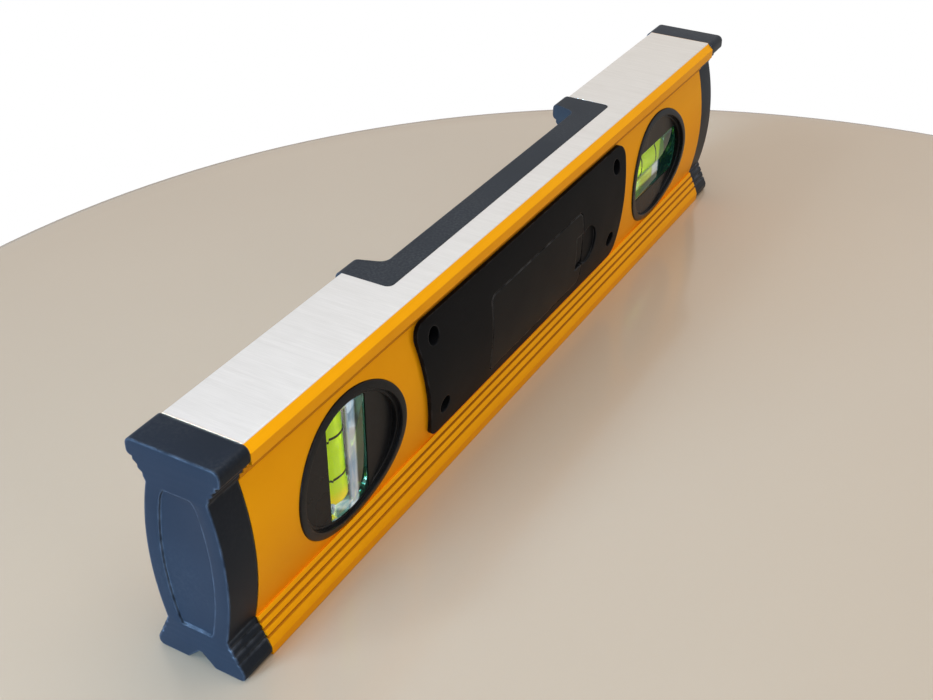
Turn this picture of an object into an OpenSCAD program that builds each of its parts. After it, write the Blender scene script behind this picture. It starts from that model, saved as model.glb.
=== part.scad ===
// Digital spirit level of pocket length: a hollow aluminium section with two block vials and an
// electronic angle display let into it. X runs along the level, the display faces -Y, the battery
// door faces +Y, and the level stands on its V-grooved base at z = 0.

/* [Body section] */
// Length of the level over both end caps
level_l = 280; // [250:1:340]
// Height of the section, base to milled top
level_h = 60; // [54:0.5:66]
// Width over the flanges
level_w = 25; // [24.5:0.1:26]
// Depth of the top flange's upright sides
flange_drop = 5; // [4.5:0.1:5.5]
// Distance from the milled top down to the bulged side walls
web_drop = 10.4; // [10.1:0.1:10.8]
// Height at which the bulged side walls begin at the bottom
web_foot_z = 9.5; // [9.2:0.1:9.8]
// Half width of the side walls at their upper and lower ends
web_end_y = 8.4; // [8.2:0.1:8.6]
// How far the side walls bulge beyond their ends
web_bulge = 2.65; // [2.3:0.05:2.8]
// Thickness of the side walls
wall = 1.8; // [1.5:0.1:2]
// Thickness of the top flange
top_wall = 2.8; // [2.4:0.1:3]
// Height of the floor inside the section
floor_z = 7.2; // [7:0.1:7.6]
// Width of the flat cut along the top edges
top_cut = 2; // [1:0.1:2.4]
// Radius of the lower edges of the flanges and of the base
edge_r = 0.3; // [0.2:0.1:0.6]
// Half width of the V groove at the base
groove_half = 3.6; // [3:0.1:3.8]
// Depth of the V groove
groove_depth = 3.4; // [2.6:0.1:3.6]
// Flat at the bottom of the V groove
groove_flat = 0.5; // [0.2:0.1:1]

/* [End caps] */
// Length of an end cap outside the section
cap_l = 10; // [8:0.5:14]
// How far a cap's outline lies inside the section's outline
cap_inset = 0.2; // [0.1:0.05:0.3]
// Radius of the top edges of a cap and of the display housing
top_r = 1.8; // [1.2:0.1:2.2]
// Radius of the lower edges of a cap's flanges and foot
cap_edge_r = 1.2; // [0.8:0.1:1.3]
// Depth of the panel recessed in the end face
panel_depth = 0.7; // [0.4:0.1:1]
// Length of the plug that holds the cap in the section
plug_l = 9; // [5:0.5:12]
// Wall of the plug
plug_wall = 1.6; // [1.2:0.1:2.2]
// Clearance of the plug in the section
plug_gap = 0.15; // [0.1:0.05:0.3]

/* [Display housing] */
// Half length of the housing at the top
module_half = 63.5; // [62:0.5:68]
// Half length of the housing at its lower edge
module_foot_half = 57; // [56:0.5:58.5]
// Height of the lower edge of the housing and of the rear cover
module_z = 12.5; // [12.2:0.1:13]
// Radius of the lower corners
module_r = 4; // [3:0.5:5]
// How far the housing and the rear cover stand proud of the side walls
proud = 1.2; // [0.8:0.1:1.4]
// Depth of the band on top, from the centre line towards the rear
band_y = 3.56; // [3:0.1:4]
// Thickness of the housing's front wall
skin = 2; // [1.6:0.1:2.2]
// How far the openings in the side walls lie inside the outline
opening_inset = 3.2; // [2.8:0.1:3.4]
// Clearance of the housing in its openings
seat_gap = 0.1; // [0.05:0.05:0.2]
// Half length of the notch at the front edge
notch_half = 56.5; // [55:0.5:57.5]
// Half length of the notch at its inner edge
notch_inner_half = 53.5; // [51:0.5:54]
// Distance of the notch's inner edge from the centre line
notch_y = 4; // [3.6:0.1:4.4]
// Height at which the sloping display meets the front
slope_z = 31; // [30:0.5:33]
// Radius of the notch's inner corners
notch_r = 3; // [2:0.5:4]

/* [Display] */
// Length of the display window
window_l = 68; // [56:1:76]
// Distance of the window's upper edge from the top of the slope
window_drop = 5.5; // [4.5:0.5:8]
// Distance of the window's lower edge from the foot of the slope
window_rise = 3.6; // [3.4:0.1:5]
// Thickness of the display window
window_t = 1.2; // [1:0.1:1.3]
// Thickness of the display glass
glass_t = 1.6; // [1.2:0.1:1.8]
// Thickness of the backlight frame behind the glass
backlight_t = 1.4; // [1:0.1:1.6]

/* [Buttons] */
// Number of buttons in the row
buttons = 4; // [4:4]
// Spacing of the buttons
button_pitch = 22; // [19:0.5:24]
// Length of a button
button_l = 15; // [12:0.5:16]
// Height of a button
button_h = 7; // [6:0.5:7.5]
// Height of the row of buttons above the base
button_z = 21.5; // [21:0.1:22]
// How far a button stands proud of the front
button_proud = 0.8; // [0.5:0.1:1.2]
// Travel of a button
button_travel = 0.6; // [0.4:0.1:0.7]
// Clearance round a button
button_gap = 0.25; // [0.15:0.05:0.35]

/* [Circuit board] */
// Length of the circuit board
board_l = 92; // [90:1:93]
// Thickness of the circuit board
board_t = 1.6; // [1:0.1:1.7]
// Distance of the board's front face from the centre line
board_y = 3.9; // [3.8:0.05:4]
// Height of the circuit board's lower edge
board_z = 17.2; // [17:0.1:17.4]

/* [Battery case] */
// Diameter of a battery cell
cell_d = 10.5; // [10:0.1:10.6]
// Length of a battery cell
cell_l = 44.5; // [43:0.5:45]
// Height between the two cells' axes
cell_pitch = 11.2; // [10.9:0.1:11.4]
// Height of the lower cell's axis
cell_z = 22.6; // [22.5:0.1:22.8]
// Clearance between a cell and the case
cell_gap = 0.35; // [0.3:0.05:0.5]
// Clear length of the case, with room for the springs
case_l = 50; // [49:0.5:51]
// Wall of the battery case
case_wall = 1.1; // [0.9:0.1:1.2]
// Left end of the battery door, on the latch side
door_x0 = -30; // [-31:0.5:-29]
// Right end of the battery door, on the tongue side
door_x1 = 26.5; // [26.5:0.5:28]
// Height of the door's lower edge
door_z0 = 16; // [15.5:0.1:16.2]
// Height of the door's upper edge
door_z1 = 40; // [39.8:0.1:40.4]
// Thickness of the door
door_t = 1.4; // [1.2:0.1:1.6]
// Clearance round the door
door_gap = 0.25; // [0.2:0.05:0.35]
// Radius of the thumb scoop beside the door
scoop_r = 6; // [5:0.5:6.5]
// Depth of the thumb scoop
scoop_depth = 0.9; // [0.6:0.1:1]

/* [Cover screws] */
// Half spacing of the upper cover screws
screw_top_x = 55.5; // [55:0.1:56]
// Distance of the upper cover screws below the top of the side walls
screw_top_drop = 5.6; // [5.4:0.1:6.4]
// Half spacing of the lower cover screws
screw_foot_x = 51.5; // [51:0.1:51.8]
// Distance of the lower cover screws above the cover's lower edge
screw_foot_rise = 8.2; // [8:0.1:8.6]
// Diameter of a screw well
well_d = 5; // [4.6:0.1:5]
// Depth of a screw well below the cover
well_depth = 4; // [3:0.1:4.4]
// Diameter of a cover screw's head
head_d = 4.2; // [3.8:0.1:4.4]
// Diameter of a cover screw's shank
shank_d = 2.2; // [2:0.1:2.4]

/* [Vials] */
// Distance between the display housing and a bezel
vial_gap = 6; // [4:0.5:10]
// Length of a bezel's outline
bezel_a = 45; // [42:0.5:46]
// Margin of a bezel within the height of the side wall
bezel_margin = 1.3; // [1.2:0.1:2]
// How far a bezel stands proud of the side wall
bezel_proud = 0.4; // [0.3:0.1:0.8]
// Width of a bezel's rim
bezel_rim = 3.2; // [2.8:0.1:3.6]
// Distance of the recessed face from the centre line
recess_y = 8.9; // [8.6:0.1:9]
// Distance of a bezel's inner end from the centre line
bezel_in_y = 7; // [6.8:0.1:7.2]
// Width of the clear block between the windows
block_w = 16; // [14:0.5:17]
// Radius of the liquid's bore
bore_r = 3.2; // [3:0.1:3.4]
// Wall of the block beyond each end of the liquid, within its window
bore_margin = 2.25; // [1.5:0.25:4]
// Distance of a graduation ring from the middle of the vial
ring_x = 5.75; // [5:0.05:6.5]
// Width of a graduation ring
ring_w = 0.6; // [0.4:0.1:0.9]
// Length of the bubble
bubble_l = 11; // [9:0.5:12]

/* [Base magnets] */
// Diameter of a base magnet
magnet_d = 8; // [6:0.5:9]
// Thickness of a base magnet
magnet_t = 2.4; // [2:0.1:2.8]
// Spacing of the pairs of magnets from the middle
magnet_x = 52; // [40:1:56]

/* [Hidden] */
$fn = 96;
slack = 1;                 // how far a cutting shape runs past what it cuts
half_w = level_w / 2;
body_l = level_l - 2 * cap_l;
flange_z = level_h - flange_drop;
web_top_z = level_h - web_drop;
steps = 3;                 // steps below the top flange, and ribs above the base
step_z = (flange_z - web_top_z) / steps;
step_y = 11.1;             // half width over the first step
step_in = 1.1;             // how far each step lies inside the one above
step_face = 0.95;          // upright face of a step
rib_ledge = 0.45;          // how far the uppermost rib stands out of the side wall
rib_rise = 0.6;            // and how far its edge lies above the wall's foot
base_side_z = 2.5;         // top of the base's upright sides
rib_share = 0.31;          // pitch of the ribs, as a share of the flank
rib_groove = 0.04;         // half width of a groove between ribs, as a share of the flank
rib_depth = 0.55;          // depth of a groove
web_mid_z = (web_top_z + web_foot_z) / 2;
web_half_h = (web_top_z - web_foot_z) / 2;
web_r = (web_half_h * web_half_h + web_bulge * web_bulge) / (2 * web_bulge);
web_axis = web_end_y + web_bulge - web_r;
slope_y = web_face(slope_z, proud);
slope_tilt = atan((slope_y - notch_y) / (level_h - slope_z));
slope_len = (level_h - slope_z) / cos(slope_tilt);
window_h = slope_len - window_rise - window_drop;
cover_top_z = web_top_z - seat_gap;
stack_gap = 0.1;           // gap between the layers of the display
ledge = 1.2;               // ledge that carries the display window and the glass
glass_y = skin + stack_gap;
backlight_y = glass_y + glass_t + stack_gap;
stack_back = (backlight_y + backlight_t + stack_gap) / cos(slope_tilt);
// the board reaches up to the back of the sloping display
board_top = slope_z + (slope_y - board_y - stack_back) / tan(slope_tilt) - slack / 2;
board_h = board_top - board_z;
screw_top_z = web_top_z - screw_top_drop;
screw_foot_z = module_z + screw_foot_rise;
vial_x = module_half + vial_gap + bezel_a / 2;
vial_z = web_mid_z - slack / 4;
bezel_b = web_top_z - web_foot_z - 2 * bezel_margin;
recess_a = bezel_a - 2 * bezel_rim;
recess_b = bezel_b - 2 * bezel_rim;
bore_l = recess_b - 2 * bore_margin;
panel_margin = 4.2;        // frame left beside the panel of an end cap
panel_taper = 3.2;         // how much narrower its upper end is
panel_r = 2;               // radius of its upper corners
button_back_y = 8.2;       // back of a button, from the centre line
button_flange = 0.9;       // how far a button's flange reaches behind the front wall
case_x1 = door_x1 - 3.5;   // inner ends of the battery case
case_x0 = case_x1 - case_l;
cell_y = web_face(cell_z, proud) - door_t - cell_gap - cell_d / 2;
case_y = cell_y - cell_d / 2 - cell_gap;
nub_d = 3.8;               // positive nub of a cell
nub_l = 1;
plate_t = 0.5;             // sheet of the battery contacts
well_floor = 1.2;          // floor under a screw's head
boss_wall = 1.1;           // wall round a screw well
head_t = 1.6;
board_head_t = 1.4;        // head of a board screw
cross_l = 0.6;             // cross recess of a screw, as shares of its head
cross_w = 0.16;
latch_z0 = 22;             // relief slot of the door's snap tab
latch_z1 = 33;
notch_x1 = door_x0 + 4.5;  // and how far it reaches into the door
tab_sink = 0.9;            // depth of the snap tab below the door's face
latch_x0 = door_x0 - 1.5;
latch_x1 = door_x0 + 2.5;
scoop_x = door_x0 - 3.5;
scoop_z = 27.5;
tongue_l = 1.5;
tongue_half = 2;           // half width of a tongue
tongue_z = 7;              // its middle, from the door's edge
tongue_room = 4;
board_boss_x = 43.5;
board_boss_z = 28;
board_screw_r = 0.9;
thread_gap = 0.05;         // clearance of a shank in its hole
bezel_step = 1.2;          // step between a bezel's rim and its recess
block_lip = 1;             // how far the clear block reaches behind the bezels on each side
block_gap = 0.1;
ring_t = 0.35;
wet_gap = 0.03;            // gap between the liquid and its bore
plug_t = 2.5;
magnet_z = 3.2;            // height of the magnets above the base plane
bubble_r = 2.2;
contact_w = 8;             // width of the battery contacts
chip_w = 8;                // controller chip, square
chip_t = 1.2;
chip_z = 29.5;
sensor_w = 4;
sensor_x = 22;
buzzer_d = 12;
buzzer_t = 4;
buzzer_x = 34;
switch_w = 6;              // tact switches, square, with round plungers
plunger_d = 3.4;
plunger_l = 0.6;
cover_screws_xz = [
    [-screw_top_x, screw_top_z], [screw_top_x, screw_top_z],
    [-screw_foot_x, screw_foot_z], [screw_foot_x, screw_foot_z]
];

yellow = [0.93, 0.64, 0.05];
black = [0.09, 0.09, 0.10];
clear = [0.85, 0.92, 0.90, 0.45];
green = [0.72, 0.86, 0.10];
steel = [0.7, 0.7, 0.72];

// Curves of the outlines

// y of the bulged side wall at height z, moved out by e
function web_face(z, e = 0) =
    web_axis + sqrt((web_r + e) * (web_r + e) - (z - web_mid_z) * (z - web_mid_z));

function unit(v) = v / norm(v);

// points of an arc of radius r that rounds the corner b between a and c
function corner(a, b, c, r, n) =
    let (
        u = unit(a - b),
        w = unit(c - b),
        half = acos(u * w) / 2,
        o = b + r / sin(half) * unit(u + w),
        p = b + r / tan(half) * u - o,
        q = b + r / tan(half) * w - o,
        start = atan2(p.y, p.x),
        turn = atan2(q.y, q.x) - start,
        sweep = turn > 180 ? turn - 360 : turn < -180 ? turn + 360 : turn
    )
    [for (i = [0 : n]) o + r * [cos(start + sweep * i / n), sin(start + sweep * i / n)]];

// outline through points [x, y, radius], each corner rounded by its radius
function rounded(pts, n = 6) =
    let (k = len(pts), xy = [for (p = pts) [p.x, p.y]])
    [for (i = [0 : k - 1])
        each pts[i].z > 0 ? corner(xy[(i + k - 1) % k], xy[i], xy[(i + 1) % k], pts[i].z, n)
                          : [xy[i]]];

// right half of an outline, from top to bottom, completed by its mirror image
function mirrored(pts) =
    concat(pts, [for (i = [len(pts) - 1 : -1 : 0]) [-pts[i].x, pts[i].y, pts[i].z]]);

function oval(a, b, n = 72) =
    [for (i = [0 : n - 1]) [a / 2 * cos(360 * i / n), b / 2 * sin(360 * i / n)]];

// Section of the extrusion, y across and z up, with all faces moved out by e

module web_2d(e = 0, z0 = web_foot_z, z1 = web_top_z) {
    intersection() {
        translate([web_axis, web_mid_z]) circle(r = web_r + e, $fn = 240);
        translate([-web_axis, web_mid_z]) circle(r = web_r + e, $fn = 240);
        translate([-level_w, z0]) square([2 * level_w, z1 - z0]);
    }
}

// upper corners of the flange: cut flat on the metal, or rounded on the plastic pieces
function flange_corners(e, soft) = soft
    ? [[half_w + e, level_h + e, top_r], [half_w + e, flange_z - e, cap_edge_r]]
    : [[half_w + e - top_cut, level_h + e, 0], [half_w + e, level_h + e - top_cut, 0],
       [half_w + e, flange_z - e, edge_r]];

module flange_2d(e = 0, soft = false) {
    polygon(rounded(mirrored(concat(
        flange_corners(e, soft),
        [for (i = [0 : steps - 1]) each [
            [step_y - i * step_in + e, flange_z - i * step_z - e, 0],
            [step_y - i * step_in + e, flange_z - i * step_z - step_face, 0]
        ]],
        [[web_end_y + e, web_top_z, 0], [web_end_y - wall, web_top_z - wall, 0]]
    ))));
}

// point of the ribbed flank at a share of its length, sunk by d
function flank(t, e, d = 0) =
    let (a = [web_end_y + rib_ledge + e, web_foot_z + rib_rise], b = [half_w + e, base_side_z])
    a + t * (b - a) + d * unit([b.y - a.y, a.x - b.x]);

module base_2d(e = 0, soft = false) {
    polygon(rounded(mirrored(concat(
        [
            [web_end_y - wall, web_foot_z + wall, 0],
            [web_end_y - wall / 2, web_foot_z + rib_rise + rib_ledge, 0],
            [flank(0, e).x, flank(0, e).y, 0]
        ],
        [for (i = [1 : steps - 1]) each [
            [flank(i * rib_share - rib_groove, e).x, flank(i * rib_share - rib_groove, e).y, 0],
            [flank(i * rib_share, e, rib_depth).x, flank(i * rib_share, e, rib_depth).y, 0],
            [flank(i * rib_share + rib_groove, e).x, flank(i * rib_share + rib_groove, e).y, 0]
        ]],
        [
            [half_w + e, base_side_z, 0],
            [half_w + e, -e, soft ? cap_edge_r : edge_r],
            [groove_half - e, -e, 0],
            [groove_flat / 2 - e / 2, groove_depth - e, 0]
        ]
    ))));
}

// the whole section, l long: side walls, top flange and base with its ribbed flanks
module section(l, e = 0, soft = false) {
    along_x(l) web_2d(e);
    along_x(l) flange_2d(e, soft);
    along_x(l) base_2d(e, soft);
}

module cavity_2d(e = 0) {
    web_2d(e - wall, floor_z - e, web_top_z);
    half = web_end_y - wall + e;
    translate([-half, floor_z - e])
        square([2 * half, level_h - top_wall - floor_z + 2 * e]);
}

module along_x(l) {
    translate([-l / 2, 0, 0]) rotate([90, 0, 90]) linear_extrude(l) children();
}

// an outline in x and z, drawn from y0 to y1
module along_y(y0, y1) {
    translate([0, y1, 0]) rotate([90, 0, 0]) linear_extrude(y1 - y0) children();
}

// Outlines of the openings and plates

// outline of the rear cover in x and z, moved in by d
module cover_outline(d = 0, top = cover_top_z) {
    flank = (module_half - module_foot_half) / (web_top_z - module_z);
    top_half = module_half - seat_gap + flank * (top - web_top_z) - d;
    foot_half = module_foot_half - d + flank * d;
    r = max(module_r - d / 2, 1);
    polygon(rounded([
        [-top_half, top, d > 0 || top > web_top_z ? 0 : module_r],
        [top_half, top, d > 0 || top > web_top_z ? 0 : module_r],
        [foot_half, module_z + d, r],
        [-foot_half, module_z + d, r]
    ]));
}

module door_outline(e = 0) {
    polygon(rounded([
        [door_x0 - e, door_z0 - e, 2], [door_x1 + e, door_z0 - e, 2],
        [door_x1 + e, door_z1 + e, 2], [door_x0 - e, door_z1 + e, 2]
    ]));
}

module box_2d(x0, x1, z0, z1) {
    translate([x0, z0]) square([x1 - x0, z1 - z0]);
}

// band on top in x and y: square at the front edge, rounded corners towards the rear
module band_outline(e = 0) {
    polygon(rounded([
        [-module_half - e, -level_w, 0], [module_half + e, -level_w, 0],
        [module_half + e, band_y + e, top_r + e], [-module_half - e, band_y + e, top_r + e]
    ]));
}

module notch_outline() {
    flare = (notch_half - notch_inner_half) / (half_w - notch_y);
    polygon(rounded([
        [-notch_half - flare * slack, -half_w - slack, 0],
        [notch_half + flare * slack, -half_w - slack, 0],
        [notch_inner_half, -notch_y, notch_r],
        [-notch_inner_half, -notch_y, notch_r]
    ]));
}

// frame of the sloping display: x along the level, y into the housing, z up the slope
module on_slope() {
    translate([0, -slope_y, slope_z]) rotate([-slope_tilt, 0, 0]) children();
}

module slope_box(half_l, y0, y1, z0, z1) {
    on_slope() translate([-half_l, y0, z0]) cube([2 * half_l, y1 - y0, z1 - z0]);
}

// Body and caps

module body_extrusion() {
    color(yellow) difference() {
        section(body_l);
        along_x(body_l + 2 * slack) cavity_2d();
        translate([0, 0, web_top_z])
            linear_extrude(level_h) band_outline(seat_gap);
        along_y(-half_w, 0) cover_outline(opening_inset, web_top_z + slack);
        along_y(0, half_w) {
            cover_outline(opening_inset, web_top_z - opening_inset);
            case_2d(case_wall + seat_gap);
        }
        cover_screw_places() along_y(0, half_w) circle(d = well_d + 2 * boss_wall + 2 * seat_gap);
        for (side = [-1, 1])
            translate([side * vial_x, 0, vial_z])
                along_y(-half_w, half_w) oval_2d(2 * seat_gap);
        magnet_seats() cylinder(h = magnet_z + magnet_t + wet_gap + slack, d = magnet_d + 2 * wet_gap);
    }
}

module oval_2d(e = 0) {
    polygon(oval(bezel_a + e, bezel_b + e));
}

module magnet_seats() {
    for (i = [-1.5 : 1.5])
        translate([i * magnet_x, 0, -slack]) children();
}

// cap at the +X end: prism, recessed end panel and a hollow plug
module end_cap() {
    x0 = body_l / 2;
    panel_z0 = web_foot_z + panel_r / 2;
    chamfer = 2 * cap_inset;
    difference() {
        union() {
            translate([x0 + cap_l / 2, 0, 0]) section(cap_l, -cap_inset, true);
            cap_plug(x0);
        }
        translate([x0 - plug_l / 2 - slack, 0, 0])
            along_x(plug_l) cavity_2d(-plug_gap - plug_wall);
        translate([x0 + cap_l - panel_depth, 0, 0])
            rotate([90, 0, 90]) linear_extrude(level_l) intersection() {
                web_2d(-panel_margin, panel_z0, web_top_z - panel_r / 4);
                polygon(rounded([
                    [-web_end_y, panel_z0, 0.6], [web_end_y, panel_z0, 0.6],
                    [web_end_y - panel_taper, web_top_z, panel_r],
                    [panel_taper - web_end_y, web_top_z, panel_r]
                ]));
            }
        for (side = [-1, 1])
            translate([level_l / 2, side * half_w, -slack])
                rotate([0, 0, 45]) translate([-chamfer, -chamfer, 0])
                    cube([2 * chamfer, 2 * chamfer, level_h + 2 * slack]);
    }
}

// plug of a cap in the section, clear of the bezels
module cap_plug(x0) {
    difference() {
        translate([x0 - plug_l / 2, 0, 0]) along_x(plug_l) cavity_2d(-plug_gap);
        translate([vial_x, 0, vial_z]) along_y(-half_w, half_w) oval_2d(2 * slack);
    }
}

module end_cap_plumb() {
    color(black) end_cap();
}

module end_cap_level() {
    color(black) mirror([1, 0, 0]) end_cap();
}

// Display housing

module display_housing() {
    color(black) difference() {
        union() {
            // band on top and the wings beside the notch
            intersection() {
                along_x(3 * module_half) flange_2d(0, true);
                translate([0, 0, web_top_z + slack / 4]) linear_extrude(level_h) band_outline();
            }
            // plate on the front side wall, its upper edge tucked under the band's steps
            intersection() {
                difference() {
                    along_x(3 * module_half) web_2d(proud, module_z - slack, web_top_z + slack / 2);
                    along_x(4 * module_half) web_2d(0, module_z - 2 * slack, web_top_z);
                }
                along_y(-half_w, 0) cover_outline(0, web_top_z + 2 * slack);
            }
            // walls of the tray inside the side wall
            intersection() {
                along_x(3 * module_half) web_2d(proud / 2);
                along_y(-half_w, -board_y + board_t)
                    cover_outline(opening_inset + seat_gap, web_top_z);
            }
        }
        difference() {
            housing_hollow();
            screw_bosses();
            board_bosses();
        }
        notch();
        display_cuts();
        button_row() along_y(-half_w - slack, -button_back_y)
            capsule(button_l + 2 * button_gap, button_h + 2 * button_gap);
        cover_screw_places() along_y(-web_end_y + thread_gap, level_w)
            circle(d = shank_d + 2 * thread_gap);
        board_screw_places() along_y(-web_end_y + thread_gap, level_w)
            circle(r = board_screw_r + thread_gap);
    }
}

// room behind the front wall and the sloping wall
module housing_hollow() {
    intersection() {
        union() {
            intersection() {
                along_x(3 * module_half) web_2d(proud - skin, module_z, web_top_z + slack);
                along_y(-half_w, half_w)
                    cover_outline(opening_inset + seat_gap + case_wall, web_top_z + 2 * slack);
            }
            translate([-module_half + skin, skin + wall - web_end_y, web_top_z - 2 * slack])
                cube([2 * (module_half - skin), level_w, level_h - top_wall - web_top_z + 2 * slack]);
        }
        slope_box(level_l, skin, level_l, -level_h, level_h);
    }
}

module notch() {
    intersection() {
        translate([0, 0, slope_z - slack]) linear_extrude(level_h) notch_outline();
        slope_box(level_l, -level_w, 0, -slack, level_h);
    }
}

// seat of the display window, and the opening behind it
module display_cuts() {
    half = window_l / 2;
    slope_box(half + stack_gap, -slack, window_t, window_rise - stack_gap,
        window_rise + window_h + stack_gap);
    slope_box(half - ledge, -slack, 2 * skin, window_rise + ledge, window_rise + window_h - ledge);
}

module button_row() {
    for (i = [0 : buttons - 1])
        translate([(i - (buttons - 1) / 2) * button_pitch, 0, button_z]) children();
}

module capsule(l, h) {
    translate([h / 2 - l / 2, -h / 2]) square([l - h, h]);
    for (side = [-1, 1])
        translate([side * (l - h) / 2, 0]) circle(d = h);
}

module cover_screw_places() {
    for (p = cover_screws_xz)
        translate([p.x, 0, p.y]) children();
}

module board_screw_places() {
    for (side = [-1, 1])
        translate([side * board_boss_x, 0, board_boss_z]) children();
}

function well_end(z) = web_face(z, proud) - well_depth;

// bosses that take the cover screws, up to the ends of the cover's wells
module screw_bosses() {
    for (p = cover_screws_xz)
        translate([p.x, 0, p.y])
            along_y(-half_w, well_end(p.y) - well_floor - seat_gap)
                circle(d = shank_d + 2 * well_floor);
}

module board_bosses() {
    board_screw_places() along_y(-half_w, -board_y) circle(r = board_screw_r + well_floor);
}

// Display

module display_window() {
    color(clear)
        slope_box(window_l / 2, 0, window_t, window_rise, window_rise + window_h);
}

module display_glass() {
    color([0.6, 0.66, 0.6])
        slope_box(window_l / 2 + ledge, glass_y, glass_y + glass_t, window_rise - ledge,
            window_rise + window_h + ledge);
}

module backlight_frame() {
    color("white")
        slope_box(window_l / 2 + 2 * ledge, backlight_y, backlight_y + backlight_t,
            window_rise - ledge, window_rise + window_h + ledge);
}

// Electronics

module circuit_board() {
    color("darkgreen") difference() {
        translate([-board_l / 2, -board_y, board_z]) cube([board_l, board_t, board_h]);
        board_screw_places() along_y(-half_w, half_w) circle(r = board_screw_r + thread_gap);
    }
}

module controller_chip() {
    color(black) translate([-chip_w / 2, -board_y - chip_t, chip_z - chip_w / 2])
        cube([chip_w, chip_t, chip_w]);
}

module tilt_sensor() {
    color([0.2, 0.2, 0.22]) translate([sensor_x - sensor_w / 2, -board_y - chip_t, chip_z - sensor_w / 2])
        cube([sensor_w, chip_t, sensor_w]);
}

module buzzer() {
    color(black) translate([buzzer_x, 0, chip_z]) difference() {
        along_y(-board_y + board_t, -board_y + board_t + buzzer_t) circle(d = buzzer_d);
        along_y(-board_y + board_t + buzzer_t / 2, half_w) circle(d = buzzer_d / 6);
    }
}

// the plungers end just beyond the buttons' travel
module tact_switches() {
    switch_end = button_back_y - button_travel - thread_gap;
    color("silver") button_row() {
        along_y(-switch_end + plunger_l, -board_y)
            translate([-switch_w / 2, -switch_w / 2]) square(switch_w);
        along_y(-switch_end, -switch_end + plunger_l) circle(d = plunger_d);
    }
}

// button at place i: a face that follows the front, and a flange behind the front wall
module button(i) {
    x = (i - (buttons - 1) / 2) * button_pitch;
    intersection() {
        translate([x, 0, button_z]) along_y(-level_w, -button_back_y) capsule(button_l, button_h);
        along_x(level_l) web_2d(proud + button_proud);
    }
    intersection() {
        translate([x, 0, button_z]) along_y(-level_w, -button_back_y)
            capsule(button_l + 2 * button_flange, button_h + 2 * button_flange);
        along_x(level_l) web_2d(proud - skin - seat_gap);
    }
}

module button_power() {
    color([0.75, 0.12, 0.08]) button(0);
}

module button_hold() {
    color([0.25, 0.26, 0.28]) button(1);
}

module button_units() {
    color([0.25, 0.26, 0.28]) button(2);
}

module button_zero() {
    color([0.25, 0.26, 0.28]) button(3);
}

// Rear cover and battery case

module rear_cover() {
    color(black) difference() {
        union() {
            // plate on the rear side wall
            intersection() {
                difference() {
                    along_x(3 * module_half) web_2d(proud);
                    along_x(4 * module_half) web_2d();
                }
                along_y(0, half_w) cover_outline();
            }
            // plate within the opening
            intersection() {
                difference() {
                    along_x(3 * module_half) web_2d(proud);
                    along_x(4 * module_half) web_2d(proud - skin);
                }
                along_y(0, half_w)
                    cover_outline(opening_inset + seat_gap, cover_top_z - opening_inset);
            }
            // battery case
            intersection() {
                along_x(3 * module_half) web_2d(proud - slack);
                along_y(case_y - case_wall, half_w) case_2d(case_wall);
            }
            for (p = cover_screws_xz)
                translate([p.x, 0, p.y])
                    along_y(well_end(p.y) - well_floor, web_face(p.y))
                        circle(d = well_d + 2 * boss_wall);
        }
        along_y(case_y, half_w) case_2d();
        // door opening: through the plate, and down to the case's rim
        difference() {
            along_y(0, half_w) door_outline(door_gap);
            along_x(3 * module_half) web_2d(proud - door_t - stack_gap);
        }
        // room for the tongues beside the case
        along_y(case_y, half_w)
            box_2d(case_x1 + case_wall, door_x1, door_z0 + tongue_room, door_z1 - tongue_room);
        along_y(case_y + cell_d - tongue_l, half_w)
            box_2d(case_x1 - slack, door_x1, door_z0 + tongue_room, door_z1 - tongue_room);
        along_y(case_y, half_w) box_2d(latch_x0, latch_x1, latch_z0, latch_z1);
        tongues(stack_gap, slack);
        for (p = cover_screws_xz)
            translate([p.x, 0, p.y]) {
                along_y(well_end(p.y), half_w) circle(d = well_d);
                along_y(0, half_w) circle(d = shank_d + 2 * thread_gap);
            }
        // thumb scoop beside the door
        translate([scoop_x, 0, scoop_z])
            along_y(web_face(scoop_z, proud) - scoop_depth, half_w) circle(r = scoop_r);
    }
}

module case_2d(e = 0) {
    box_2d(case_x0 - e, case_x1 + e, cell_z - cell_d / 2 - cell_gap - e,
        cell_z + cell_pitch + cell_d / 2 + cell_gap + e);
}

// two tongues that hold the door's right end under the cover
module tongues(e = 0, down = 0) {
    for (z = [door_z0 + tongue_z, door_z1 - tongue_z]) {
        y1 = web_face(z, proud) - skin - stack_gap + e;
        along_y(y1 - ledge - down - e, web_face(z, proud) - door_t / 2)
            box_2d(door_x1 - ledge - e, door_x1 - stack_gap + e, z - tongue_half - e, z + tongue_half + e);
        along_y(y1 - ledge - down - e, y1)
            box_2d(door_x1 - slack, door_x1 + tongue_l + e, z - tongue_half - e, z + tongue_half + e);
    }
}

module battery_door() {
    color(black) {
        intersection() {
            difference() {
                along_x(3 * module_half) web_2d(proud);
                along_x(4 * module_half) web_2d(proud - door_t);
            }
            along_y(0, half_w) difference() {
                door_outline();
                box_2d(door_x0 - slack, notch_x1, latch_z0, latch_z1);
            }
        }
        tongues();
        // snap tab in its relief slot
        intersection() {
            difference() {
                along_x(3 * module_half) web_2d(proud - tab_sink);
                along_x(4 * module_half) web_2d(proud - door_t);
            }
            along_y(0, half_w)
                box_2d(latch_x0 + 2 * door_gap, notch_x1 + slack, latch_z0 + slack, latch_z1 - slack);
        }
    }
}

// a cell along +X from the origin, its nub at the far end
module cell() {
    rotate([0, 90, 0]) {
        cylinder(h = cell_l - nub_l, d = cell_d);
        cylinder(h = cell_l, d = nub_d);
    }
}

module battery_cell_lower() {
    color([0.3, 0.32, 0.36])
        translate([case_x1 - plate_t - cell_l, cell_y, cell_z]) cell();
}

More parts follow.
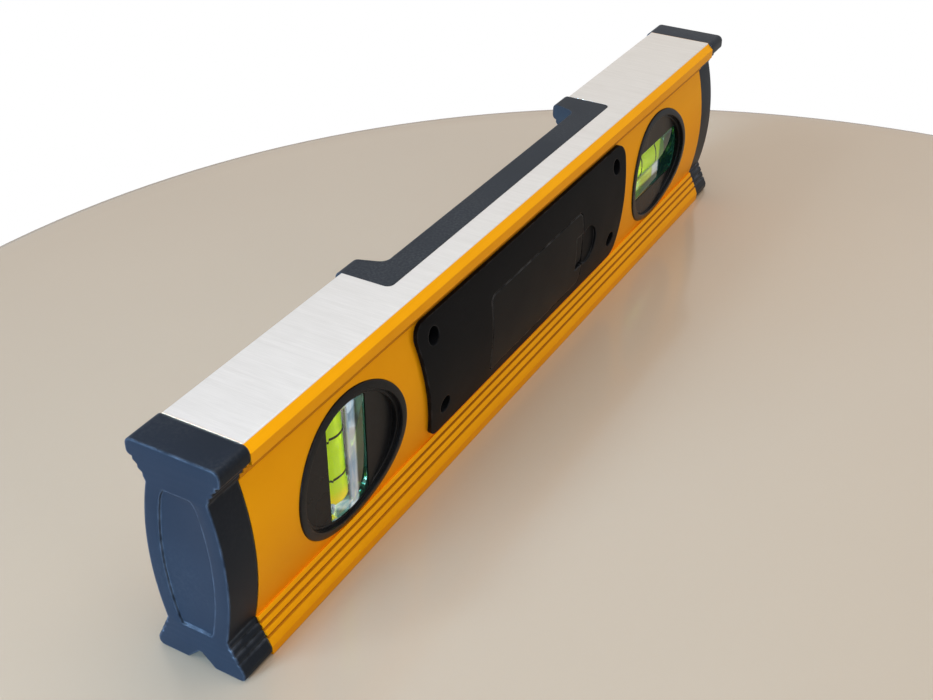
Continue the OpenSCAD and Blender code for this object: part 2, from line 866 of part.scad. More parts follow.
module battery_cell_upper() {
    color([0.3, 0.32, 0.36])
        translate([case_x0 + plate_t + cell_l, cell_y, cell_z + cell_pitch])
            mirror([1, 0, 0]) cell();
}

// bowed leaf between the case's end wall and a cell's flat end
module leaf_spring() {
    bow = case_l - cell_l - 2 * plate_t;
    half = contact_w / 2;
    linear_extrude(contact_w, center = true) {
        translate([0, -half]) square([plate_t, contact_w]);
        polygon([
            [plate_t, -half], [plate_t + bow, -plate_t * 2], [plate_t + bow, plate_t * 2],
            [plate_t, half], [plate_t, half - 2 * plate_t],
            [bow, plate_t * 1.5], [bow, -plate_t * 1.5], [plate_t, 2 * plate_t - half]
        ]);
    }
}

module contact_springs() {
    color(steel) {
        translate([case_x0, cell_y, cell_z]) leaf_spring();
        translate([case_x1, cell_y, cell_z + cell_pitch]) mirror([1, 0, 0]) leaf_spring();
    }
}

module contact_plates() {
    color(steel) {
        translate([case_x1 - plate_t, cell_y - contact_w / 2, cell_z - contact_w / 2])
            cube([plate_t, contact_w, contact_w]);
        translate([case_x0, cell_y - contact_w / 2, cell_z + cell_pitch - contact_w / 2])
            cube([plate_t, contact_w, contact_w]);
    }
}

// Screws

// screw along -Y, the underside of its head at y = seat, with a cross recess
module screw(seat, head, thick, shank_r, tip) {
    difference() {
        union() {
            along_y(seat, seat + thick) circle(d = head);
            along_y(tip, seat) circle(r = shank_r);
        }
        for (turn = [0, 90])
            translate([0, seat + thick / 2 + level_w / 2, 0]) rotate([0, turn, 0])
                cube([head * cross_l, level_w, head * cross_w], center = true);
    }
}

module cover_screws() {
    color(steel)
        for (p = cover_screws_xz)
            translate([p.x, 0, p.y])
                screw(well_end(p.y), head_d, head_t, shank_d / 2, 2 * thread_gap - web_end_y + boss_wall);
}

module board_screws() {
    color(steel) board_screw_places()
        screw(board_t - board_y, 4 * board_screw_r, board_head_t, board_screw_r,
            2 * thread_gap - web_end_y + boss_wall);
}

// Vials: z along the vial, y between the windows, origin in its middle

// clear block between the two bezels: wider inside than in the windows
module vial_block(l, a, b) {
    difference() {
        union() {
            cube([block_w + 2 * block_lip, 2 * (bezel_in_y - block_gap), l + block_lip], center = true);
            intersection() {
                cube([block_w - 2 * block_gap, 2 * recess_y, l + block_lip], center = true);
                along_y(-half_w, half_w) polygon(oval(a - 2 * block_gap, b - 2 * block_gap));
            }
        }
        // bore from the plug's end, and the grooves of the rings
        translate([0, 0, -bore_l / 2]) cylinder(h = l, r = bore_r);
        for (side = [-1, 1])
            translate([0, 0, side * ring_x - ring_w / 2])
                cylinder(h = ring_w, r = bore_r + ring_t);
    }
}

// liquid round the bubble, whose middle is at bubble_at
module vial_liquid(bubble_at) {
    difference() {
        translate([0, 0, -bore_l / 2 + wet_gap])
            cylinder(h = bore_l - 2 * wet_gap, r = bore_r - wet_gap);
        translate(bubble_at) {
            cylinder(h = bubble_l - 2 * bubble_r, r = bubble_r, center = true);
            for (side = [-1, 1])
                translate([0, 0, side * (bubble_l / 2 - bubble_r)]) sphere(r = bubble_r);
        }
    }
}

module vial_rings() {
    for (side = [-1, 1])
        translate([0, 0, side * ring_x - ring_w / 2 + wet_gap]) difference() {
            cylinder(h = ring_w - 2 * wet_gap, r = bore_r + ring_t - wet_gap);
            translate([0, 0, -slack]) cylinder(h = ring_w + 2 * slack, r = bore_r);
        }
}

module vial_plug() {
    translate([0, 0, bore_l / 2 + wet_gap])
        cylinder(h = plug_t, r = bore_r - wet_gap);
}

module at_plumb() {
    translate([vial_x, 0, vial_z]) children();
}

module at_level() {
    translate([-vial_x, 0, vial_z]) rotate([0, 90, 0]) children();
}

module plumb_block() {
    color(clear) at_plumb() vial_block(recess_b, recess_a, recess_b);
}

module plumb_liquid() {
    color(green) at_plumb() vial_liquid([0, 0, bore_l / 2 - bubble_l / 2 - 4 * wet_gap]);
}

module plumb_rings() {
    color(black) at_plumb() vial_rings();
}

module plumb_plug() {
    color(clear) at_plumb() vial_plug();
}

module level_block() {
    color(clear) at_level() vial_block(recess_a, recess_b, recess_a);
}

module level_liquid() {
    color(green) at_level() vial_liquid([4 * wet_gap + bubble_r - bore_r, 0, 0]);
}

module level_rings() {
    color(black) at_level() vial_rings();
}

module level_plug() {
    color(clear) at_level() vial_plug();
}

// bezel on the +Y side, its window along z or, turned, along x
module bezel(window_l, window_h) {
    difference() {
        intersection() {
            translate([0, 0, -vial_z]) along_x(2 * bezel_a) web_2d(bezel_proud);
            along_y(bezel_in_y, half_w) oval_2d();
        }
        along_y(recess_y + bezel_step, half_w)
            polygon(oval(recess_a + bezel_rim - bezel_step, recess_b + bezel_rim - bezel_step));
        along_y(recess_y, half_w) polygon(oval(recess_a, recess_b));
        intersection() {
            along_y(0, half_w) polygon(oval(recess_a, recess_b));
            along_y(0, half_w) box_2d(-window_l / 2, window_l / 2, -window_h / 2, window_h / 2);
        }
    }
}

module bezel_plumb_rear() {
    color(black) at_plumb() bezel(block_w, 2 * bezel_b);
}

module bezel_plumb_front() {
    color(black) at_plumb() mirror([0, 1, 0]) bezel(block_w, 2 * bezel_b);
}

module bezel_level_rear() {
    color(black) translate([-vial_x, 0, vial_z]) bezel(2 * bezel_a, block_w);
}

module bezel_level_front() {
    color(black) translate([-vial_x, 0, vial_z]) mirror([0, 1, 0]) bezel(2 * bezel_a, block_w);
}

module base_magnets() {
    color(steel) magnet_seats()
        translate([0, 0, slack + magnet_z]) cylinder(h = magnet_t, d = magnet_d);
}

body_extrusion();
end_cap_plumb();
end_cap_level();
display_housing();
display_window();
display_glass();
backlight_frame();
circuit_board();
controller_chip();
tilt_sensor();
buzzer();
tact_switches();
button_power();
button_hold();
button_units();
button_zero();
rear_cover();
battery_door();
battery_cell_lower();
battery_cell_upper();
contact_springs();
contact_plates();
cover_screws();
board_screws();
plumb_block();
plumb_liquid();
plumb_rings();
plumb_plug();
level_block();
level_liquid();
level_rings();
level_plug();
bezel_plumb_rear();
bezel_plumb_front();
bezel_level_rear();
bezel_level_front();
base_magnets();
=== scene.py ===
import bmesh
import bpy
import numpy as np
from mathutils import Matrix
from mathutils.geometry import tessellate_polygon


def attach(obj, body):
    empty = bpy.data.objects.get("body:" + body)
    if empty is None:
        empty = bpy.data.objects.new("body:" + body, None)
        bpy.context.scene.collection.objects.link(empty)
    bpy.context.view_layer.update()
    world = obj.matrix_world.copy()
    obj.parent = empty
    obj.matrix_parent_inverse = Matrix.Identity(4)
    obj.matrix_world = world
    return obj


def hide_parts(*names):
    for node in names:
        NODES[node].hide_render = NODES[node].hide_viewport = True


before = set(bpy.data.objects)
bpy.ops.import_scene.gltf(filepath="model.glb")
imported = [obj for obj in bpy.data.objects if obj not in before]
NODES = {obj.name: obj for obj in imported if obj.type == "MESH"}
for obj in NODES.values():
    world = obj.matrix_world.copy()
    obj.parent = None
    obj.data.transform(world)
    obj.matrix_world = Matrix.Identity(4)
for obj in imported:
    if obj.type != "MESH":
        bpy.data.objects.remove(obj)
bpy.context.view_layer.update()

bl_info = {
    "name": "Digital spirit level",
    "version": (1, 0, 0),
    "blender": (4, 5, 0),
    "location": "3D View > Sidebar > Level",
    "description": "Finishes the packed parts of a digital spirit level and sets it on a plain "
                   "floor",
    "category": "Object",
}

MM = 0.001

# Shape of the level in millimetres. The top and foot of the flank are points of y and z, and its
# grooves lie at shares of the way down it.
HEIGHT, HALF_WIDTH = 60.0, 12.5
FLANGE_Z, FLANGE_STEPS = 55.0, 3
STEP_Y, STEP_IN, STEP_FACE = 11.1, 1.1, 0.95
WEB_TOP, WEB_FOOT, WEB_END, WEB_BULGE = 49.6, 9.5, 8.4, 2.65
WEB_MID = (WEB_TOP + WEB_FOOT) / 2
WEB_R = ((WEB_TOP - WEB_FOOT) ** 2 / 4 + WEB_BULGE ** 2) / (2 * WEB_BULGE)
WEB_AXIS = WEB_END + WEB_BULGE - WEB_R
FLANK_TOP, FLANK_FOOT = (WEB_END + 0.45, WEB_FOOT + 0.6), (HALF_WIDTH, 2.5)
RIB_GROOVES = (0.16, 0.405, 0.66)
CAP_INNER, CAP_OUTER = 130.0, 140.0
VIAL_X, VIAL_Z = 92.0, 29.3
OVAL_A, OVAL_B = 45.0, 37.5
BLOCK_FACE, MODULE_PROUD = 8.9, 1.2
BUTTON_Z, BUTTON_PITCH, BUTTON_L, BUTTON_H = 21.5, 22.0, 15.0, 7.0
BUTTON_BACK, BUTTON_FLANGE = 8.2, 0.9


# Shader building

def place(tree, kind, sockets=None, **settings):
    """Adds one shader node. A socket given another socket is linked, else given the value."""
    made = tree.nodes.new(kind)
    for name, value in settings.items():
        setattr(made, name, value)
    for name, value in (sockets or {}).items():
        socket = made.inputs[name]
        if isinstance(value, bpy.types.NodeSocket):
            tree.links.new(value, socket)
        else:
            socket.default_value = value
    return made


def maths(tree, operation, *terms):
    """One sum of up to three numbers or sockets."""
    return place(tree, "ShaderNodeMath", dict(enumerate(terms)), operation=operation).outputs[0]


def spread(tree, value, low, high, to_low=0.0, to_high=1.0):
    """Carries a value from one span to another, held at both ends."""
    return place(tree, "ShaderNodeMapRange",
                 {"Value": value, "From Min": low, "From Max": high,
                  "To Min": to_low, "To Max": to_high}, clamp=True).outputs["Result"]


def mixed(tree, share, first, second):
    """Mixes two numbers by a share from 0 to 1."""
    return place(tree, "ShaderNodeMix", {0: share, 2: first, 3: second}).outputs[0]


def blend_colours(tree, share, first, second):
    """Mixes two colours by a share from 0 to 1."""
    ends = [c if isinstance(c, bpy.types.NodeSocket) else (*c[:3], 1.0) for c in (first, second)]
    return place(tree, "ShaderNodeMix", {0: share, 6: ends[0], 7: ends[1]},
                 data_type="RGBA").outputs[2]


def shade_of(colour, share, lift=0.0):
    """A colour made darker or paler by a share, and lifted by a plain amount."""
    return tuple(c * share + lift for c in colour[:3])


def object_place(tree):
    """Object coordinates, in metres."""
    return place(tree, "ShaderNodeTexCoord").outputs["Object"]


def split(tree, vector):
    """The X, Y and Z of a vector."""
    return place(tree, "ShaderNodeSeparateXYZ", {0: vector}).outputs


def noise(tree, at, scale, detail, **more):
    """Cloudy noise from 0 to 1."""
    return place(tree, "ShaderNodeTexNoise",
                 {"Vector": at, "Scale": scale, "Detail": detail, **more}).outputs["Fac"]


def join(tree, value, node, socket):
    """Links a value to a socket of a shader, or of a group's outputs."""
    tree.links.new(value, node.inputs[socket])


def bump(tree, shader, height, distance, strength, **rounded_normal):
    """Turns a height into the shader's normal, over a rounded one where that is given."""
    sockets = {"Height": height, "Distance": distance, "Strength": strength, **rounded_normal}
    join(tree, place(tree, "ShaderNodeBump", sockets).outputs["Normal"], shader, "Normal")


def new_group(name, inputs, outputs):
    """An empty shader node group with named inputs and outputs."""
    group = bpy.data.node_groups.new(name, "ShaderNodeTree")
    for label, kind, value in inputs:
        socket = group.interface.new_socket(name=label, in_out="INPUT", socket_type=kind)
        socket.default_value = value
    for label, kind in outputs:
        group.interface.new_socket(name=label, in_out="OUTPUT", socket_type=kind)
    return group, group.nodes.new("NodeGroupInput").outputs, group.nodes.new("NodeGroupOutput")


FLOAT, VECTOR = "NodeSocketFloat", "NodeSocketVector"


def moulded_grain_group():
    """Fine spark texture of a moulded plastic: two sizes of noise for the height, and a slow one
    for how the sheen wanders over the piece."""
    group, given, out = new_group("moulded grain", [("Scale", FLOAT, 2500.0)],
                                  [("Height", FLOAT), ("Sheen", FLOAT)])
    at = object_place(group)
    fine = noise(group, at, given["Scale"], 2.0)
    cells = place(group, "ShaderNodeTexVoronoi",
                  {"Vector": at, "Scale": maths(group, "MULTIPLY", given["Scale"], 0.55)},
                  feature="SMOOTH_F1").outputs["Distance"]
    join(group, maths(group, "MULTIPLY_ADD", cells, 0.6, fine), out, "Height")
    join(group, noise(group, at, 60.0, 3.0), out, "Sheen")
    return group


def edge_wear_and_highlight_group():
    """Mask of the corners: how far the normal rounded over a radius leans from the plain one,
    broken up by noise."""
    group, given, out = new_group(
        "edge wear",
        [("Radius", FLOAT, 0.0004), ("Amount", FLOAT, 0.5), ("Scale", FLOAT, 300.0)],
        [("Mask", FLOAT), ("Normal", VECTOR)])
    rounded_normal = place(group, "ShaderNodeBevel", {"Radius": given["Radius"]},
                           samples=6).outputs[0]
    plain = place(group, "ShaderNodeNewGeometry").outputs["Normal"]
    lean = place(group, "ShaderNodeVectorMath", {0: rounded_normal, 1: plain},
                 operation="DOT_PRODUCT").outputs["Value"]
    patches = spread(group, noise(group, object_place(group), given["Scale"], 4.0), 0.35, 0.7)
    corner = maths(group, "MULTIPLY", spread(group, lean, 0.992, 0.91), patches)
    join(group, maths(group, "MULTIPLY", corner, given["Amount"]), out, "Mask")
    join(group, rounded_normal, out, "Normal")
    return group


def settled_dust_group():
    """Mask of light dust: it lies where the surface faces up, in soft patches with specks."""
    group, given, out = new_group("settled dust", [("Amount", FLOAT, 0.3)], [("Mask", FLOAT)])
    at = object_place(group)
    up = split(group, place(group, "ShaderNodeNewGeometry").outputs["Normal"])["Z"]
    patches = spread(group, noise(group, at, 45.0, 5.0), 0.38, 0.75)
    specks = spread(group, noise(group, at, 1400.0, 2.0), 0.4, 0.72)
    lying = maths(group, "MULTIPLY", spread(group, up, -0.2, 1.0, 0.25, 1.0), patches)
    join(group, maths(group, "MULTIPLY", maths(group, "MULTIPLY", lying, specks), given["Amount"]),
         out, "Mask")
    return group


def tool_lines_group():
    """Long fine lines left by a tool or a die: noise squeezed along two directions and drawn out
    along the third."""
    group, given, out = new_group("tool lines", [("Stretch", VECTOR, (1.0, 1.0, 1.0))],
                                  [("Height", FLOAT), ("Shade", FLOAT)])
    drawn = place(group, "ShaderNodeVectorMath", {0: object_place(group), 1: given["Stretch"]},
                  operation="MULTIPLY").outputs["Vector"]
    lines = noise(group, drawn, 1.0, 3.0, Roughness=0.65)
    bands = noise(group, drawn, 0.12, 2.0)
    join(group, lines, out, "Height")
    join(group, maths(group, "MULTIPLY_ADD", bands, 0.3, maths(group, "MULTIPLY", lines, 0.7)),
         out, "Shade")
    return group


GROUPS = {}
FINISHES = {}


def effect(tree, name, **values):
    """Places one of the shared groups in a material with its own values."""
    makers = {"moulded grain": moulded_grain_group, "edge wear": edge_wear_and_highlight_group,
              "settled dust": settled_dust_group, "tool lines": tool_lines_group}
    if name not in GROUPS:
        GROUPS[name] = makers[name]()
    made = tree.nodes.new("ShaderNodeGroup")
    made.node_tree = GROUPS[name]
    for label, value in values.items():
        made.inputs[label].default_value = value
    return made.outputs


def new_finish(name, sockets):
    """A material with one Principled shader, whose plain values are set on its own sockets."""
    finish = bpy.data.materials.new(name)
    finish.use_nodes = True
    finish.node_tree.nodes.clear()
    shader = place(finish.node_tree, "ShaderNodeBsdfPrincipled", sockets)
    out = place(finish.node_tree, "ShaderNodeOutputMaterial")
    finish.node_tree.links.new(shader.outputs[0], out.inputs["Surface"])
    return finish, finish.node_tree, shader


def moulded_finish(name, colour, roughness, grain_scale, grain_depth, wear, dust,
                   rounding=0.0003, gloss=0.25):
    """Moulded plastic: spark grain, corners paler and smoother, partly as wear and partly as a
    painted highlight along the edges, thin dust.
    """
    finish, tree, shader = new_finish(name, {"IOR": 1.48, "Specular IOR Level": gloss})
    grain = effect(tree, "moulded grain", Scale=grain_scale)
    corner = effect(tree, "edge wear", Radius=rounding, Amount=wear)
    dusty = effect(tree, "settled dust", Amount=dust)["Mask"]
    tone = blend_colours(tree, spread(tree, grain["Sheen"], 0.3, 0.7),
                         shade_of(colour, 0.94), shade_of(colour, 1.06))
    # Pale corners: partly wear, partly a painted highlight along the edges.
    rubbed_and_highlit = blend_colours(tree, corner["Mask"], tone, shade_of(colour, 4.0, 0.07))
    join(tree, blend_colours(tree, dusty, rubbed_and_highlit, DUST), shader, "Base Color")
    sheen = spread(tree, grain["Sheen"], 0.25, 0.75, roughness - 0.05, roughness + 0.06)
    join(tree, maths(tree, "MULTIPLY_ADD", corner["Mask"], -0.14, sheen), shader, "Roughness")
    bump(tree, shader, grain["Height"], grain_depth, 0.5, Normal=corner["Normal"])
    return finish


def foot_painted_shade(tree, parts):
    """Painted shade in the grooves between the foot's ribs: a share from how far down the sloped
    flank a point lies, one bell at each groove."""
    top, foot = FLANK_TOP[1] * MM, FLANK_FOOT[1] * MM
    down = maths(tree, "DIVIDE", maths(tree, "SUBTRACT", top, parts["Z"]), top - foot)
    lines = 0.0
    for share in RIB_GROOVES:
        off = maths(tree, "ABSOLUTE", maths(tree, "SUBTRACT", down, share))
        lines = maths(tree, "MAXIMUM", lines, spread(tree, off, 0.05, 0.02))
    outside = spread(tree, maths(tree, "ABSOLUTE", parts["Y"]), 0.0062, 0.0066)
    return maths(tree, "MULTIPLY", maths(tree, "MULTIPLY", lines, outside), 0.9)


def flange_painted_shade(tree, parts):
    """Painted shade on the steps below the flange, by height alone."""
    wall = WEB_TOP * MM
    steps = maths(tree, "MULTIPLY", spread(tree, parts["Z"], 0.0551, 0.0548),
                  spread(tree, parts["Z"], wall - 0.0003, wall + 0.0002))
    return maths(tree, "MULTIPLY", steps, 0.5)


def extrusion_finish(name, colours):
    """Yellow anodised aluminium with die lines along it. On the milled top and under the foot
    the yellow is cut away, and bare metal shows with the cutter's lines across it. Shade is
    painted as a darker yellow into the foot's grooves and onto the steps below the flange."""
    finish, tree, shader = new_finish(name, {"IOR": 1.5, "Specular IOR Level": 0.25,
                                             "Specular Tint": (1.0, 0.74, 0.4, 1.0)})
    at = object_place(tree)
    parts = split(tree, at)
    sawn = spread(tree, maths(tree, "ABSOLUTE", parts["X"]), 0.12975, 0.12985, 1.0, 0.6)
    top = maths(tree, "MULTIPLY", spread(tree, parts["Z"], 0.05975, 0.05985), sawn)
    milled = maths(tree, "MAXIMUM", top, spread(tree, parts["Z"], 0.00012, 0.00006))
    die = effect(tree, "tool lines", Stretch=(14.0, 5200.0, 5200.0))
    cutter = effect(tree, "tool lines", Stretch=(7500.0, 160.0, 160.0))
    corner = effect(tree, "edge wear", Radius=0.00014, Amount=0.5, Scale=420.0)
    yellow = blend_colours(tree, spread(tree, noise(tree, at, 35.0, 4.0), 0.3, 0.7),
                           colours.yellow_deep, colours.yellow)
    worn = blend_colours(tree, maths(tree, "MULTIPLY", corner["Mask"], 0.55), yellow,
                         colours.yellow_edge)
    bare = blend_colours(tree, spread(tree, cutter["Shade"], 0.36, 0.64),
                         shade_of(colours.bare_metal, 0.90), colours.bare_metal)
    # Painted shade: a darker yellow in the foot's grooves and on the steps below the flange.
    painted_shade = maths(tree, "MAXIMUM", foot_painted_shade(tree, parts), flange_painted_shade(tree, parts))
    yellow_with_painted_shade = blend_colours(tree, painted_shade, worn, colours.yellow_painted_shade)
    join(tree, blend_colours(tree, milled, yellow_with_painted_shade, bare), shader, "Base Color")
    join(tree, spread(tree, milled, 0.0, 1.0, 0.55, 1.0), shader, "Metallic")
    satin = spread(tree, die["Shade"], 0.3, 0.7, 0.34, 0.42)
    cut = spread(tree, cutter["Shade"], 0.3, 0.7, 0.42, 0.5)
    join(tree, mixed(tree, milled, satin, cut), shader, "Roughness")
    height = mixed(tree, milled, maths(tree, "MULTIPLY", die["Height"], 0.25), cutter["Height"])
    bump(tree, shader, height, 0.00002, 0.6, Normal=corner["Normal"])
    return finish


def metal_finish(name, colour, roughness, stretch):
    """Turned or plated metal with fine lines and a wandering sheen."""
    finish, tree, shader = new_finish(name, {"Metallic": 1.0})
    lines = effect(tree, "tool lines", Stretch=stretch)
    corner = effect(tree, "edge wear", Radius=0.0002, Amount=0.6)
    tone = blend_colours(tree, spread(tree, lines["Shade"], 0.35, 0.65),
                         shade_of(colour, 0.72), colour)
    join(tree, blend_colours(tree, corner["Mask"], tone, shade_of(colour, 1.25)),
         shader, "Base Color")
    join(tree, spread(tree, lines["Shade"], 0.3, 0.7, roughness - 0.07, roughness + 0.09),
         shader, "Roughness")
    bump(tree, shader, lines["Height"], 0.00001, 0.5, Normal=corner["Normal"])
    return finish


def clear_finish(name, colour, ior=1.49):
    """Clear moulded acrylic: a faint tint that wanders, fine polishing haze and slight waves."""
    finish, tree, shader = new_finish(name, {"Transmission Weight": 1.0, "IOR": ior})
    at = object_place(tree)
    haze = noise(tree, at, 240.0, 4.0)
    join(tree, blend_colours(tree, haze, shade_of(colour, 0.93), colour), shader, "Base Color")
    join(tree, spread(tree, haze, 0.35, 0.8, 0.0, 0.07), shader, "Roughness")
    bump(tree, shader, noise(tree, at, 90.0, 1.0), 0.00006, 0.3)
    return finish


def block_finish(name, colour, wall):
    """Clear acrylic block of a vial, with painted light and shade: a painted glow in streaks along
    its tube, painted lime light beside the lying tube, and painted dark green shade filling it
    towards the far wall of its slot. How far a point lies along the level, and how high, is taken
    from the middle of its own vial."""
    # The emission is painted light, and the dark green towards the slot's far wall is painted
    # shade.
    finish, tree, shader = new_finish(name, {"Transmission Weight": 1.0, "IOR": 1.45,
                                             "Emission Strength": 0.34})
    at = object_place(tree)
    parts = split(tree, at)
    middle = maths(tree, "MULTIPLY", maths(tree, "SIGN", parts["X"]), VIAL_X * MM)
    along = maths(tree, "SUBTRACT", parts["X"], middle)
    rise = maths(tree, "SUBTRACT", parts["Z"], VIAL_Z * MM)
    upright = spread(tree, parts["X"], -0.001, 0.001)
    # Mask of the painted shade towards the far wall of the slot.
    lying_ends = maths(tree, "MAXIMUM", spread(tree, along, -0.0035, -0.0050),
                       spread(tree, rise, -0.0032, -0.0044))
    ends = mixed(tree, upright, lying_ends, spread(tree, along, -0.0030, -0.0038))
    # Mask of the painted light along the tube.
    lit = mixed(tree, upright, spread(tree, rise, 0.0006, -0.0006),
                spread(tree, along, 0.0006, -0.0006))
    lime = maths(tree, "MULTIPLY", spread(tree, parts["X"], 0.001, -0.001),
                 spread(tree, along, 0.0002, 0.0016))
    drawn = place(tree, "ShaderNodeMapping", {"Vector": at, "Scale": (1.0, 1.0, 0.18)})
    streak = noise(tree, drawn.outputs["Vector"], 520.0, 2.0)
    pale = blend_colours(tree, spread(tree, streak, 0.4, 0.6), (0.45, 0.65, 0.85), (1.0, 1.0, 1.0))
    pale = blend_colours(tree, lime, pale, (0.80, 0.92, 0.08))
    painted_glow = blend_colours(tree, lit, (0.0, 0.0, 0.0), pale)
    join(tree, blend_colours(tree, ends, colour, wall), shader, "Base Color")
    join(tree, blend_colours(tree, ends, painted_glow, (0.0, 0.02, 0.015)), shader, "Emission Color")
    join(tree, spread(tree, streak, 0.35, 0.8, 0.0, 0.06), shader, "Roughness")
    return finish


def liquid_finish(name, colour, painted_glow):
    """Dyed vial liquid: clear yellow-green with a painted glow, painted darker green shade towards
    its rim as seen, and yellow at the lower end of the upright vial."""
    finish, tree, shader = new_finish(name, {"Transmission Weight": 0.55, "IOR": 1.36,
                                             "Emission Strength": painted_glow})
    at = object_place(tree)
    drift = noise(tree, at, 160.0, 2.0)
    body = blend_colours(tree, spread(tree, drift, 0.3, 0.7), shade_of(colour, 0.9), colour)
    low = spread(tree, split(tree, at)["Z"], (VIAL_Z - 9.5) * MM, (VIAL_Z - 12.5) * MM)
    body = blend_colours(tree, low, body, (0.92, 0.62, 0.02))
    # Painted shade: darker green where the surface turns away from the camera.
    facing = place(tree, "ShaderNodeLayerWeight", {"Blend": 0.35}).outputs["Facing"]
    body = blend_colours(tree, spread(tree, facing, 0.25, 0.8), body, (0.14, 0.46, 0.03))
    join(tree, body, shader, "Base Color")
    join(tree, body, shader, "Emission Color")
    join(tree, spread(tree, drift, 0.2, 0.8, 0.0, 0.06), shader, "Roughness")
    return finish


def board_finish(name, colour, track):
    """Circuit board: solder mask over a net of copper tracks."""
    finish, tree, shader = new_finish(name, {"IOR": 1.5})
    at = object_place(tree)
    net = place(tree, "ShaderNodeTexVoronoi", {"Vector": at, "Scale": 420.0, "Randomness": 0.35},
                feature="DISTANCE_TO_EDGE").outputs["Distance"]
    tracks = spread(tree, net, 0.09, 0.06)
    speck = spread(tree, noise(tree, at, 900.0, 2.0), 0.4, 0.6)
    mask = blend_colours(tree, speck, shade_of(colour, 0.8), colour)
    join(tree, blend_colours(tree, tracks, mask, track), shader, "Base Color")
    join(tree, spread(tree, tracks, 0.0, 1.0, 0.3, 0.22), shader, "Roughness")
    bump(tree, shader, tracks, 0.00004, 0.6)
    return finish


def display_glass_finish(name, colour):
    """Reflective liquid crystal glass: grey-green ground with the faint grid of its segments."""
    finish, tree, shader = new_finish(name, {"IOR": 1.5, "Specular IOR Level": 0.5})
    at = object_place(tree)
    grid = place(tree, "ShaderNodeTexWave", {"Vector": at, "Scale": 520.0, "Distortion": 0.0},
                 wave_type="BANDS", bands_direction="X").outputs["Fac"]
    cloud = noise(tree, at, 70.0, 3.0)
    ground = blend_colours(tree, spread(tree, cloud, 0.3, 0.7), shade_of(colour, 0.92), colour)
    join(tree, blend_colours(tree, maths(tree, "MULTIPLY", grid, 0.05), ground, (0.1, 0.12, 0.1)),
         shader, "Base Color")
    join(tree, spread(tree, cloud, 0.3, 0.7, 0.16, 0.24), shader, "Roughness")
    return finish


# Plastics and rubbers. Each row gives the colour, or the name of one in the sidebar, then
# roughness, grain scale, grain depth in metres, wear with painted edge highlight, dust, rounding in
# metres and gloss.
MOULDED = {
    # The caps and the door get strongly paled corners: a painted highlight along their edges.
    "cap_black": ("cap", 0.36, 7000.0, 0.00001, 1.0, 0.06, 0.0008, 0.09),
    "housing_black": ("housing", 0.46, 6000.0, 0.00001, 0.3, 0.08, 0.0003, 0.1),
    "cover_black": ("cover", 0.42, 7000.0, 0.00001, 0.7, 0.03, 0.0005, 0.04),
    "door_black": ("cover", 0.40, 7000.0, 0.00001, 1.0, 0.03, 0.0006, 0.06),
    "bezel_black": ("cover", 0.28, 8000.0, 0.000006, 0.3, 0.04, 0.00012, 0.16),
    "button_red": ("button_red", 0.5, 3000.0, 0.00003, 0.35, 0.15),
    "button_grey": ("button_grey", 0.5, 3000.0, 0.00003, 0.35, 0.15),
    "frame_white": ((0.78, 0.78, 0.76), 0.45, 3000.0, 0.00001, 0.1, 0.05),
    "chip_black": ((0.03, 0.03, 0.032), 0.5, 5000.0, 0.00001, 0.3, 0.05, 0.0002),
    "ring_black": ((0.012, 0.014, 0.012), 0.35, 5000.0, 0.000004, 0.1, 0.0, 0.0001),
    "cell_jacket": ((0.05, 0.05, 0.055), 0.28, 900.0, 0.00001, 0.2, 0.05),
}
# Metals. Each row gives the colour, roughness and how the tool lines are stretched.
METALS = {
    "contact_steel": ((0.74, 0.72, 0.68), 0.28, (500.0, 3000.0, 500.0)),
    "screw_steel": ((0.20, 0.20, 0.21), 0.32, (2000.0, 300.0, 2000.0)),
    "switch_metal": ((0.62, 0.62, 0.62), 0.34, (2500.0, 400.0, 2500.0)),
    "sensor_metal": ((0.58, 0.58, 0.6), 0.3, (900.0, 900.0, 900.0)),
    "magnet_nickel": ((0.74, 0.72, 0.69), 0.16, (300.0, 300.0, 2000.0)),
}
DUST = (0.34, 0.33, 0.31)


def finish_of(name):
    """Builds a named finish once, from the tables and the colours in the sidebar."""
    if name in FINISHES:
        return FINISHES[name]
    colours, look = bpy.context.scene.level_colours, bpy.context.scene.level_look
    if name in MOULDED:
        colour, *values = MOULDED[name]
        colour = getattr(colours, colour) if isinstance(colour, str) else colour
        made = moulded_finish(name, colour, *values)
    elif name in METALS:
        made = metal_finish(name, *METALS[name])
    elif name == "anodised_extrusion":
        made = extrusion_finish(name, colours)
    elif name == "window_clear":
        made = clear_finish(name, (0.97, 0.98, 0.98))
    elif name == "bubble_clear":
        made = clear_finish(name, (0.95, 0.98, 0.90), 1.33)
    elif name == "block_clear":
        # The dark green given to the block is painted shade at the far wall of its slot.
        made = block_finish(name, colours.acrylic, (0.008, 0.045, 0.03))
    elif name == "vial_liquid":
        made = liquid_finish(name, colours.liquid, look.liquid_glow)
    elif name == "display_glass":
        made = display_glass_finish(name, colours.display)
    elif name == "board_green":
        made = board_finish(name, (0.02, 0.16, 0.06), (0.05, 0.28, 0.10))
    else:
        raise ValueError("There is no finish named " + name)
    FINISHES[name] = made
    return made


def dress(node, finish):
    """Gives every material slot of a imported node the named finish."""
    for slot in NODES[node].material_slots:
        slot.material = finish_of(finish)


# Mesh building

